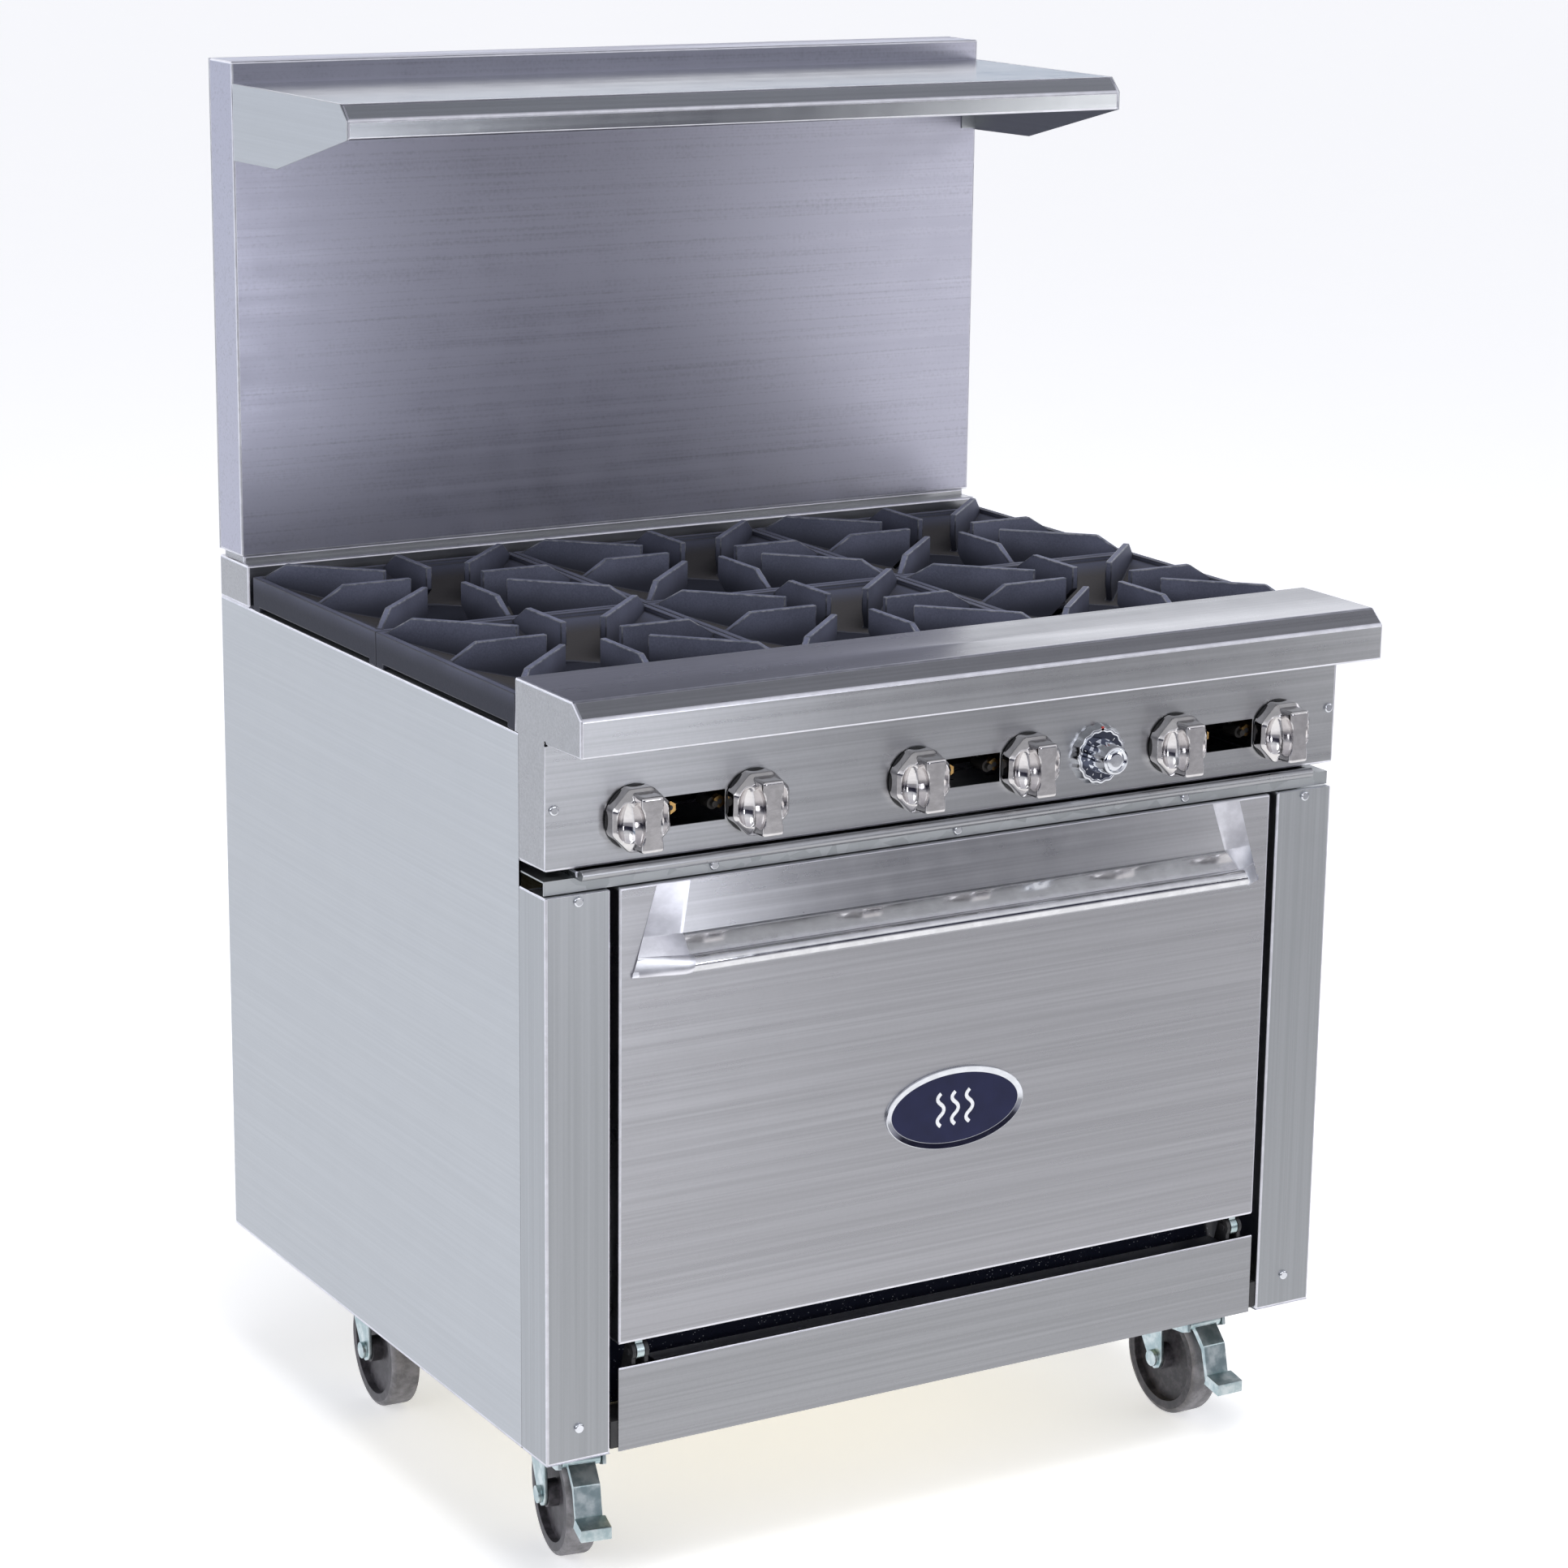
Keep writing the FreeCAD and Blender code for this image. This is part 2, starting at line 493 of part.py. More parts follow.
def grate():
    """One cast top grate round the origin: a rim, a sloping bowl with a hole, and eight blades."""
    hx = (GRATE_PITCH_X - GRATE_GAP) / 2
    hy = (GRATE_PITCH_Y - GRATE_GAP) / 2
    ix = hx - RIM_WALL
    iy = hy - RIM_WALL
    rim = box(-hx, hx, -hy, hy, GRATE_BOTTOM, RIM_TOP).cut(box(-ix, ix, -iy, iy, 0, RIM_TOP + 1))
    z_out = RIM_TOP - 5
    z_in = z_out - BOWL_DROP

    def frustum(drop):
        big = Part.makePolygon([V(sx * ix, sy * iy, z_out - drop) for sx, sy in CORNERS])
        small = Part.makePolygon([V(sx * BOWL_HALF, sy * BOWL_HALF, z_in - drop) for sx, sy in CORNERS])
        return Part.makeLoft([big, small], True, True)

    slab = box(-ix, ix, -iy, iy, z_in - BOWL_THICK, z_out).cut(frustum(0))
    under = slab.common(fuse([frustum(BOWL_THICK), box(-ix, ix, -iy, iy, z_out - BOWL_THICK, z_out),
                              box(-BOWL_HALF, BOWL_HALF, -BOWL_HALF, BOWL_HALF, z_in - BOWL_THICK, z_out)]))
    floor = box(-BOWL_HALF, BOWL_HALF, -BOWL_HALF, BOWL_HALF, z_in - BOWL_THICK, z_in)
    bowl = under.fuse(floor).cut(rod((0, 0, 0), (0, 0, 900), BOWL_HOLE_R))
    pieces = [rim, bowl]
    diagonal = math.atan2(iy, ix)
    for k in range(8):
        quarter = (k // 2) * math.pi / 2
        if k % 2:
            angle = quarter + (diagonal if k in (1, 5) else math.pi / 2 - diagonal)
            r_in = DIAGONAL_INNER_R
            r_out = math.hypot(ix, iy)
            r_flat = BOWL_HALF * math.sqrt(2)
        else:
            angle = quarter
            r_in = AXIAL_INNER_R
            r_out = ix if k % 4 == 0 else iy
            r_flat = BOWL_HALF
        r_hole = max(BOWL_HOLE_R, r_flat) + 6
        low = z_in - BOWL_THICK / 2 + (z_out - z_in) * (r_hole - r_flat) / (r_out - r_flat)
        outline = [(r_in, BLADE_TOP), (r_out - BLADE_SLOPE, BLADE_TOP), (r_out, RIM_TOP),
                   (r_out, z_out - BOWL_THICK / 2), (r_hole, low), (r_in, BLADE_TOP - BLADE_RISE)]
        blade = face([(r, -BLADE_THICK / 2, z) for r, z in outline]).extrude(V(0, BLADE_THICK, 0))
        pieces.append(turned(blade, (0, 0, 0), math.degrees(angle)))
    half = FOOT_PAD / 2
    for sx, sy in CORNERS[:4]:
        cx = sx * (hx - half)
        cy = sy * (hy - half)
        pieces.append(box(cx - half, cx + half, cy - half, cy + half, SIDE_HEIGHT, GRATE_BOTTOM))
    trimmed = box(-hx, hx, -hy, hy, SIDE_HEIGHT, BLADE_TOP + 1)
    return fuse(pieces).common(trimmed).removeSplitter()




def burner_points():
    """Each burner's centre, with the x of the knob that feeds it."""
    points = []
    for i, cx in enumerate(COLUMN_X):
        points.append((cx, ROW_Y[0], KNOB_X[2 * i]))
        points.append((cx, ROW_Y[1], KNOB_X[2 * i + 1]))
    return points


def burner_bases():
    """Cast burner bodies: mixer tube, neck and lower bowl in one casting each."""
    bases = []
    for cx, cy, kx in burner_points():
        tube = rod((kx, MIXER_Y, VENTURI_Z), (cx, cy, VENTURI_Z), VENTURI_R)
        bell = cone((kx, MIXER_Y, VENTURI_Z), (kx, MIXER_Y + 14, VENTURI_Z), VENTURI_R + 7, VENTURI_R)
        neck = rod((cx, cy, VENTURI_Z), (cx, cy, BURNER_BASE_Z + 2), VENTURI_R)
        bowl = cone((cx, cy, BURNER_BASE_Z), (cx, cy, BURNER_SPLIT_Z), BURNER_R - 12, BURNER_R)
        tail = rod((cx, cy, VENTURI_Z - 1), (cx, cy, VENTURI_Z - 22), 6.0)
        bases.append(fuse([tube, bell, neck, bowl, tail]))
    return bases


def burner_heads():
    """Lift-off burner heads with a ring of drilled ports."""
    heads = []
    for cx, cy, kx in burner_points():
        z = BURNER_SPLIT_Z + 0.3
        skirt = rod((cx, cy, z), (cx, cy, z + 12), BURNER_R - 1)
        crown = cone((cx, cy, z + 12), (cx, cy, BURNER_TOP_Z), BURNER_R - 5, BURNER_R - 18)
        head = skirt.fuse(crown)
        ports = []
        for k in range(16):
            a = 2 * math.pi * k / 16
            tip = (cx + (BURNER_R + 3) * math.cos(a), cy + (BURNER_R + 3) * math.sin(a), z + 7)
            root = (cx + (BURNER_R - 9) * math.cos(a), cy + (BURNER_R - 9) * math.sin(a), z + 7)
            ports.append(rod(root, tip, 1.8))
        heads.append(head.cut(Part.makeCompound(ports)))
    return heads


def manifold_pipe():
    """Front gas manifold with its supply leg to the rear inlet."""
    y = MANIFOLD_Y
    z = KNOB_Z
    front = rod((-HALF + 30, y, z), (INLET_X, y, z), MANIFOLD_R)
    leg = rod((INLET_X, y, z), (INLET_X, BODY_DEPTH - 2, z), MANIFOLD_R)
    elbow = Part.makeSphere(MANIFOLD_R + 4, V(INLET_X, y, z))
    collar_y = BACK_PANEL_Y + SHEET
    collar = rod((INLET_X, collar_y, z), (INLET_X, collar_y + 5, z), MANIFOLD_R + 5)
    bore = rod((INLET_X, y, z), (INLET_X, BODY_DEPTH + 2, z), MANIFOLD_R - 3)
    cap = rod((-HALF + 26, y, z), (-HALF + 40, y, z), MANIFOLD_R + 3)
    return fuse([front, leg, elbow, collar, cap]).cut(bore)


def gas_valves():
    """Burner valves screwed into the manifold, and the oven thermostat beside them."""
    valves = []
    saddle = rod((-HALF, MANIFOLD_Y, KNOB_Z), (HALF, MANIFOLD_Y, KNOB_Z), MANIFOLD_R)
    for x in KNOB_X:
        body = rod((x, 16, KNOB_Z), (x, MANIFOLD_Y, KNOB_Z), 12.0)
        bonnet = rod((x, 8, KNOB_Z), (x, 16, KNOB_Z), 9.5)
        riser = rod((x, 44, KNOB_Z), (x, 44, VENTURI_Z + 16), 7.0)
        spud = rod((x, 44, VENTURI_Z + 16), (x, 62, VENTURI_Z + 16), 6.0)
        hood = cone((x, 62, VENTURI_Z + 16), (x, 74, VENTURI_Z + 16), 6.0, 3.0)
        valve = fuse([body, bonnet, riser, spud, hood]).cut(saddle)
        valves.append(valve.cut(rod((x, 0, KNOB_Z), (x, 40, KNOB_Z), STEM_R + STEM_FIT)))
    x = DIAL_X
    body = box(x - 26, x + 26, 20, VALVE_BACK, KNOB_Z - 27, KNOB_Z + 30)
    boss = rod((x, 8, KNOB_Z), (x, 20, KNOB_Z), 11.0)
    thermostat = body.fuse(boss).cut(rod((x, 0, KNOB_Z), (x, 40, KNOB_Z), STEM_R + STEM_FIT))
    valves.append(thermostat)
    return valves


def pipe_run(points, radius):
    """Straight tubes through the points, with a ball at each joint."""
    pieces = []
    for a, b in zip(points, points[1:]):
        if (V(*b) - V(*a)).Length > 0.1:
            pieces.append(rod(a, b, radius))
            pieces.append(Part.makeSphere(radius + 0.2, V(*b)))
    return pieces


def pilot_valves():
    """Small brass pilot valves behind the slots, each with its tube to a pilot between the burners."""
    pilots = []
    for i, x in enumerate(PAIR_X):
        for side in (-1, 1):
            px = x + side * (SLOT_WIDTH / 2 - 7)
            z = KNOB_Z - 1
            row = 0 if side < 0 else 1
            run_x = px if side < 0 else COLUMN_X[i] + BURNER_R + 20
            stop_y = ROW_Y[row] - BURNER_R - 18
            body = rod((px, 12, z), (px, 34, z), PILOT_BODY_R)
            tip = rod((px, 7, z), (px, 12, z), PILOT_SCREW_R)
            turns = [(px, 30, z), (px, 30, PILOT_Z), (run_x, 30, PILOT_Z), (run_x, stop_y, PILOT_Z)]
            tube = pipe_run(turns, PILOT_TUBE_R)
            cup = rod((run_x, stop_y, PILOT_Z - 6), (run_x, stop_y, PILOT_Z + 10), PILOT_CUP_R)
            pilots.append(fuse([body, tip, cup] + tube))
    return pilots


# ---- knobs and dial -----------------------------------------------------------------------------
def stem(x, reach):
    return rod((x, -reach, KNOB_Z), (x, 39, KNOB_Z), STEM_R)


def knob(x):
    """Cast knob: scalloped skirt, waist and an upright grip bar; its valve stem is a second solid."""
    y0 = -KNOB_STANDOFF
    skirt = cone((x, y0, KNOB_Z), (x, y0 - KNOB_SKIRT_DEPTH, KNOB_Z), KNOB_SKIRT_R, KNOB_SKIRT_R - 4)
    scallops = []
    for k in range(6):
        a = math.radians(60 * k + 30)
        cx = x + (KNOB_SKIRT_R + 22) * math.cos(a)
        cz = KNOB_Z + (KNOB_SKIRT_R + 22) * math.sin(a)
        scallops.append(rod((cx, 5, cz), (cx, -40, cz), 25.0))
    skirt = skirt.cut(Part.makeCompound(scallops))
    y1 = -KNOB_REACH
    top = 27.0
    grip = prism_y([(x - 8, KNOB_Z - top), (x + 8, KNOB_Z - top), (x + 7, KNOB_Z), (x + 12, KNOB_Z + top),
                    (x - 12, KNOB_Z + top), (x - 7, KNOB_Z)], y1, y0 - 4)
    waist = cone((x, y0 - KNOB_SKIRT_DEPTH + 1, KNOB_Z), (x, y1 + 6, KNOB_Z), KNOB_SKIRT_R - 6, 9.0)
    body = fuse([skirt, grip, waist])
    body = body.cut(rod((x, 5, KNOB_Z), (x, -20, KNOB_Z), STEM_R))
    return [body, stem(x, 20)]


def thermostat_bezel():
    """Fixed chrome ring round the dial with the index mark's raised tab at the top."""
    x = DIAL_X
    ring = cone((x, 0, KNOB_Z), (x, -BEZEL_DEPTH, KNOB_Z), DIAL_R, DIAL_R - 2)
    ring = ring.cut(rod((x, 1, KNOB_Z), (x, -BEZEL_DEPTH - 1, KNOB_Z), DIAL_R - 5))
    tab = box(x - 2, x + 2, -BEZEL_DEPTH, 0, KNOB_Z + DIAL_R - 4, KNOB_Z + DIAL_R + 2)
    return ring.fuse(tab).removeSplitter()


def thermostat_dial():
    """Fluted hub on a numbered disc, with its stem as a second solid."""
    x = DIAL_X
    y0 = -KNOB_STANDOFF
    disc = cone((x, y0, KNOB_Z), (x, y0 - 8, KNOB_Z), DIAL_R - 5.5, DIAL_R - 8)
    hub = cone((x, y0 - 7, KNOB_Z), (x, -DIAL_REACH, KNOB_Z), 17.0, 14.5)
    flutes = []
    for k in range(10):
        a = 2 * math.pi * k / 10
        cx = x + 20 * math.cos(a)
        cz = KNOB_Z + 20 * math.sin(a)
        flutes.append(rod((cx, y0 - 9, cz), (cx, -DIAL_REACH - 5, cz), 4.0))
    body = disc.fuse(hub).cut(Part.makeCompound(flutes))
    body = body.cut(rod((x, 5, KNOB_Z), (x, -20, KNOB_Z), STEM_R))
    return [body, stem(x, 20)]


# ---- oven ---------------------------------------------------------------------------------------
def oven_liner():
    """Porcelain oven box, open to the front, with its flat front frame."""
    w = OVEN_HALF_W
    t = SHEET
    y0 = OVEN_FRONT_Y
    shell = box(-w - t, w + t, y0, OVEN_BACK_Y, OVEN_BOTTOM - t, OVEN_TOP + t)
    shell = shell.cut(box(-w, w, y0 - 1, OVEN_BACK_Y - t, OVEN_BOTTOM, OVEN_TOP))
    frame = box(-POST_INNER_X, POST_INNER_X, y0, y0 + t, FRAME_TOP + 1, POST_TOP - 4)
    frame = frame.cut(box(-w, w, y0 - 1, y0 + t + 1, DECK_Z + DECK_THICK, OVEN_TOP))
    liner = shell.fuse(frame)
    vents = [box(x - 60, x + 60, OVEN_BACK_Y - 9, OVEN_BACK_Y + 1, OVEN_TOP - 20, OVEN_TOP - 12)
             for x in (-200, 0, 200)]
    return liner.cut(Part.makeCompound(vents)).removeSplitter()


def oven_floor():
    """Removable deck over the oven burner, slotted along both sides."""
    w = OVEN_HALF_W - 3
    y0 = OVEN_FRONT_Y + SHEET + 1
    y1 = OVEN_BACK_Y - SHEET - 3
    deck = box(-w, w, y0, y1, DECK_Z, DECK_Z + DECK_THICK)
    legs = both_sides(box(w - SHEET, w, y0, y1, OVEN_BOTTOM, DECK_Z))
    slot = box(-14, 14, -30, 30, DECK_Z - 5, DECK_Z + 5)
    count = 6
    pitch = (y1 - y0 - 40) / count
    cuts = [moved(slot, s * (w - 30), y0 + 20 + pitch * (k + 0.5), 0) for s in (-1, 1) for k in range(count)]
    return fuse([deck] + legs).cut(Part.makeCompound(cuts))


def oven_burner():
    """Two-leg cast tube burner under the deck, fed from the front."""
    z = (OVEN_BOTTOM + DECK_Z) / 2
    y0 = OVEN_FRONT_Y + 60
    y1 = OVEN_BACK_Y - 80
    leg = rod((110, y0, z), (110, y1, z), 14.0)
    cross = rod((-110, y0, z), (110, y0, z), 14.0)
    ends = [Part.makeSphere(14.0, V(s * 110, y, z)) for s in (-1, 1) for y in (y0, y1)]
    feet = [box(x - 8, x + 8, y - 8, y + 8, OVEN_BOTTOM, z) for x in (-110, 110) for y in (y0, y1)]
    return fuse([cross] + both_sides(leg) + ends + feet)


def rack_guides():
    """A plate on each oven wall with pairs of ledges for the rack."""
    w = OVEN_HALF_W
    y0 = OVEN_FRONT_Y + 14
    y1 = OVEN_BACK_Y - 30
    top = RACK_Z - RACK_ROD_R - 0.3
    plate = box(w - SHEET, w, y0, y1, DECK_Z + DECK_THICK + 4, OVEN_TOP - 20)
    ledges = []
    for k in range(RACK_LEVELS):
        z = top + (k - 1) * LEDGE_STEP
        ledges.append(box(w - 20, w, y0, y1, z - SHEET, z))
    stop = box(w - 20, w, y1 - SHEET, y1, top - SHEET, top + 12)
    return both_sides(fuse([plate, stop] + ledges))


def oven_rack():
    """Welded wire rack: a frame of thick rod, cross wires on top and a raised back stop."""
    x = OVEN_HALF_W - 8
    y0 = OVEN_FRONT_Y + 18
    y1 = OVEN_BACK_Y - 44
    z = RACK_Z
    r = RACK_ROD_R
    frame = [rod((-x, y0, z), (x, y0, z), r), rod((-x, y1, z), (x, y1, z), r)]
    frame += both_sides(rod((x, y0, z), (x, y1, z), r))
    frame += [Part.makeSphere(r, V(sx * x, y, z)) for sx in (-1, 1) for y in (y0, y1)]
    count = 17
    for k in range(1, count + 1):
        wx = -x + 2 * x * k / (count + 1)
        frame.append(rod((wx, y0, z), (wx, y1, z), RACK_WIRE_R))
    middle = (y0 + y1) / 2
    frame.append(rod((-x, middle, z), (x, middle, z), r - 0.5))
    return frame[0].multiFuse(frame[1:])


def oven_insulation():
    """Glass-fibre blanket round the oven box."""
    w = OVEN_HALF_W + SHEET
    t = INSULATION
    y0 = OVEN_FRONT_Y + SHEET
    y1 = OVEN_BACK_Y + t
    outer = box(-w - t, w + t, y0, y1, OVEN_BOTTOM - SHEET - t, OVEN_TOP + SHEET + t)
    inner = box(-w, w, y0 - 1, OVEN_BACK_Y, OVEN_BOTTOM - SHEET, OVEN_TOP + SHEET)
    return outer.cut(inner)


# ---- door ---------------------------------------------------------------------------------------
def arm_outline(grow):
    """Section of a hinge arm: an eye round the pin and a strap up into the door."""
    front = HINGE_Y - 4 - grow
    back = HINGE_Y + 14 + grow
    top = DOOR_BOTTOM + 90 + grow
    return [(front, HINGE_Z), (HINGE_Y + 6 + grow, HINGE_Z), (back, DOOR_BOTTOM + 8), (back, top), (front, top)]


def hinge_arm(grow):
    x0 = HINGE_X - HINGE_ARM / 2 - grow
    x1 = HINGE_X + HINGE_ARM / 2 + grow
    eye = rod((x0, HINGE_Y, HINGE_Z), (x1, HINGE_Y, HINGE_Z), EYE_R + grow)
    return prism_x(arm_outline(grow), x0, x1).fuse(eye)


def hinge_arms():
    bore = rod((0, HINGE_Y, HINGE_Z), (HALF, HINGE_Y, HINGE_Z), HINGE_PIN_R + STEM_FIT)
    return both_sides(hinge_arm(0).cut(bore).removeSplitter())


def hinge_brackets():
    """Two ears and a pin at each lower corner of the door, welded to the base frame."""
    reach = HINGE_ARM / 2 + EAR_GAP
    ears = []
    for x0 in (HINGE_X - reach - EAR_THICK, HINGE_X + reach):
        foot = prism_x([(SHEET, FRAME_TOP), (30, FRAME_TOP), (30, 60), (HINGE_Y + EYE_R, HINGE_Z),
                        (SHEET, HINGE_Z)], x0, x0 + EAR_THICK)
        tip = rod((x0, HINGE_Y, HINGE_Z), (x0 + EAR_THICK, HINGE_Y, HINGE_Z), EYE_R)
        ears.append(foot.fuse(tip))
    x0 = HINGE_X - reach - EAR_THICK
    x1 = HINGE_X + reach + EAR_THICK
    foot = box(x0, x1, SHEET, 30, FRAME_TOP, FRAME_TOP + EAR_THICK)
    pin = rod((x0 - 2, HINGE_Y, HINGE_Z), (x1 + 2, HINGE_Y, HINGE_Z), HINGE_PIN_R)
    return both_sides(fuse(ears + [foot, pin]))


def door_skin():
    """Outer door pan with its four edges turned back."""
    w = DOOR_HALF
    z0 = DOOR_BOTTOM
    z1 = POST_TOP
    t = SHEET
    pan = box(-w, w, 0, DOOR_PAN, z0, z1).cut(box(-w + t, w - t, t, DOOR_PAN + 1, z0 + t, z1 - t))
    return pan.cut(Part.makeCompound(both_sides(hinge_arm(1.0))))


def door_liner():
    """Inner door pan: a flat flange with a raised middle."""
    w = DOOR_HALF - 2
    t = SHEET
    y = DOOR_PAN
    flange = box(-w, w, y, y + t, DOOR_BOTTOM + 2, POST_TOP - 2)
    w_in = OVEN_HALF_W - 14
    z0 = DECK_Z + 14
    z1 = OVEN_TOP - 16
    plug = box(-w_in, w_in, y, DOOR_LINER_REACH, z0, z1)
    hollow = box(-w_in + t, w_in - t, y - 1, DOOR_LINER_REACH - t, z0 + t, z1 - t)
    return flange.fuse(plug).cut(hollow).removeSplitter()


def door_insulation():
    w = DOOR_HALF - SHEET
    t = SHEET
    block = box(-w, w, t, DOOR_PAN, DOOR_BOTTOM + t, POST_TOP - t)
    return block.cut(Part.makeCompound(both_sides(hinge_arm(1.0))))


def handle_section(side, slant, top_x, squash, bead_z):
    """One closed section of the handle sheet: pad, ramp and rolled bead, squashed to the door at a tip."""
    t = HANDLE_SHEET
    r = HANDLE_BEAD_R
    cy = -(HANDLE_REACH - r)
    crease = (-HANDLE_PAD, HANDLE_CREASE_Z)
    outer = [(-t, POST_TOP - 0.5), crease, (-20.0, HANDLE_CREASE_Z - 9)]
    bend = (-20.0 + 0.9, HANDLE_CREASE_Z - 9 - 1.8)
    inner = [(-0.02, POST_TOP - 0.5), (crease[0] + t, crease[1] - 0.4), bend]
    arc_out = []
    arc_in = []
    for k in range(9):
        a = math.radians(75 + 30 * k)
        arc_out.append((cy + r * math.cos(a), HANDLE_BEAD_Z + r * math.sin(a)))
        arc_in.append((cy + (r - t) * math.cos(a), HANDLE_BEAD_Z + (r - t) * math.sin(a)))
    outline = outer + arc_out + arc_in[::-1] + inner[::-1]
    points = []
    for y, z in outline:
        zz = z + (bead_z - HANDLE_BEAD_Z) * max(0.0, min(1.0, (HANDLE_CREASE_Z - z) / 20.0))
        yy = -0.02 + (y + 0.02) * squash
        x = top_x + (POST_TOP - zz) * slant
        points.append(V(side * x, yy, zz))
    return Part.makePolygon(points + [points[0]])


def door_handle():
    """Full-width scoop handle, formed from sheet and faired into the door at both ends."""
    tip = (HANDLE_SLANT_OUT, HANDLE_TOP_OUT, 0.06, HANDLE_TIP_Z)
    run = (HANDLE_SLANT_IN, HANDLE_TOP_IN, 1.0, HANDLE_BEAD_Z)
    places = ((-1, tip), (-1, run), (1, run), (1, tip))
    wires = [handle_section(side, *place) for side, place in places]
    return Part.makeLoft(wires, True, True)


def door_badge():
    """Oval plate with a raised rim."""
    def oval(half_w, half_h, y0, y1):
        ellipse = Part.Ellipse(V(0, y0, BADGE_Z), half_w, half_h)
        ellipse.Axis = V(0, 1, 0)
        ellipse.XAxis = V(1, 0, 0)
        return Part.Face(Part.Wire(ellipse.toShape())).extrude(V(0, y1 - y0, 0))
    plate = oval(BADGE_HALF_W, BADGE_HALF_H, -BADGE_THICK, 0)
    dish = oval(BADGE_HALF_W - 7, BADGE_HALF_H - 7, -BADGE_THICK - 1, -BADGE_THICK + 1.2)
    return plate.cut(dish)


# ---- crumb tray ---------------------------------------------------------------------------------
def crumb_tray():
    """Shallow tray under the burners; its rolled front edge is the pull."""
    w = TRAY_HALF_W
    z0 = TRAY_FLOOR_Z - 0.4
    z1 = z0 + TRAY_WALL
    t = 1.2
    y0 = 1.0
    y1 = BODY_DEPTH - TRAY_BACK_GAP
    pan = box(-w, w, y0, y1, z0, z1).cut(box(-w + t, w - t, y0 + t, y1 - t, z0 + t, z1 + 1))
    neck = box(-w, w, -TRAY_LIP_OUT + TRAY_LIP_R, y0 + t, z0, z0 + 2)
    y_roll = -TRAY_LIP_OUT + TRAY_LIP_R
    z_roll = z0 + TRAY_LIP_R
    roll = rod((-w, y_roll, z_roll), (w, y_roll, z_roll), TRAY_LIP_R)
    return fuse([pan, neck, roll])


# ---- casters ------------------------------------------------------------------------------------
def caster_places():
    back = BODY_DEPTH - CASTER_BACK_FROM_END
    return {"front_left": (-CASTER_X, CASTER_FRONT_Y), "front_right": (CASTER_X, CASTER_FRONT_Y),
            "back_left": (-CASTER_X, back), "back_right": (CASTER_X, back)}


def caster_plates():
    """Top plate, ball race and kingpin of each caster, bolted under the base frame."""
    plates = []
    for cx, cy in caster_places().values():
        plate = box(-PLATE_HALF_X, PLATE_HALF_X, -PLATE_HALF_Y, PLATE_HALF_Y, -PLATE_THICK, 0)
        plate = moved(plate, cx, cy, 0)
        race = rod((cx, cy, -PLATE_THICK), (cx, cy, -PLATE_THICK - RACE_DEPTH), RACE_R)
        pin = rod((cx, cy, -PLATE_THICK), (cx, cy, -PLATE_THICK - RACE_DEPTH - FORK_SHEET - 3), KINGPIN_R)
        bolts = []
        for sx, sy in CORNERS[:4]:
            bx = cx + sx * (PLATE_HALF_X - 11)
            by = cy + sy * (PLATE_HALF_Y - 11)
            bolts.append(rod((bx, by, -PLATE_THICK), (bx, by, -PLATE_THICK - 6), 6.0))
        plates.append(fuse([plate, race, pin] + bolts))
    return plates


def caster_fork():
    """Pressed fork round the origin of a caster that trails to the front; the axle is a second solid."""
    inner = WHEEL_WIDTH / 2 + FORK_SIDE_GAP
    outer = inner + FORK_SHEET
    z1 = -PLATE_THICK - RACE_DEPTH - 0.3
    z0 = z1 - FORK_SHEET
    crown = rod((0, 0, z0), (0, 0, z1), RACE_R)
    crown = crown.fuse(box(-outer, outer, -TRAIL, 12, z0, z1))
    outline = [(24, z1), (24, z1 - 8), (-TRAIL + 13, WHEEL_Z), (-TRAIL + 9, WHEEL_Z - 9),
               (-TRAIL, WHEEL_Z - 13), (-TRAIL - 9, WHEEL_Z - 9), (-TRAIL - 13, WHEEL_Z), (-TRAIL - 10, z1)]
    leg = prism_x(outline, inner, outer)
    fork = fuse([crown] + both_sides(leg))
    fork = fork.cut(rod((0, 0, z0 - 1), (0, 0, z1 + 1), KINGPIN_R + STEM_FIT))
    fork = fork.cut(rod((-outer - 1, -TRAIL, WHEEL_Z), (outer + 1, -TRAIL, WHEEL_Z), AXLE_R + 0.1))
    axle = rod((-outer, -TRAIL, WHEEL_Z), (outer, -TRAIL, WHEEL_Z), AXLE_R)
    heads = both_sides(rod((outer, -TRAIL, WHEEL_Z), (outer + 5, -TRAIL, WHEEL_Z), 9.0))
    return [fork, fuse([axle] + heads)]


def caster_wheel():
    """Tread and web of a wheel on the axle line of a caster at the origin."""
    w = WHEEL_WIDTH / 2
    z = WHEEL_Z
    tread = rod((-w, -TRAIL, z), (w, -TRAIL, z), WHEEL_R)
    edges = [e for e in tread.Edges if e.BoundBox.XLength < 0.01]
    tread = tread.makeFillet(5.0, edges)
    dish = rod((-w - 1, -TRAIL, z), (-w + 8, -TRAIL, z), WHEEL_R - 14)
    hub = rod((-w - FORK_SIDE_GAP + 0.5, -TRAIL, z), (w + FORK_SIDE_GAP - 0.5, -TRAIL, z), 14.0)
    wheel = tread.cut(Part.makeCompound(both_sides(dish))).fuse(hub)
    return wheel.cut(rod((-w - 9, -TRAIL, z), (w + 9, -TRAIL, z), AXLE_R + STEM_FIT)).removeSplitter()


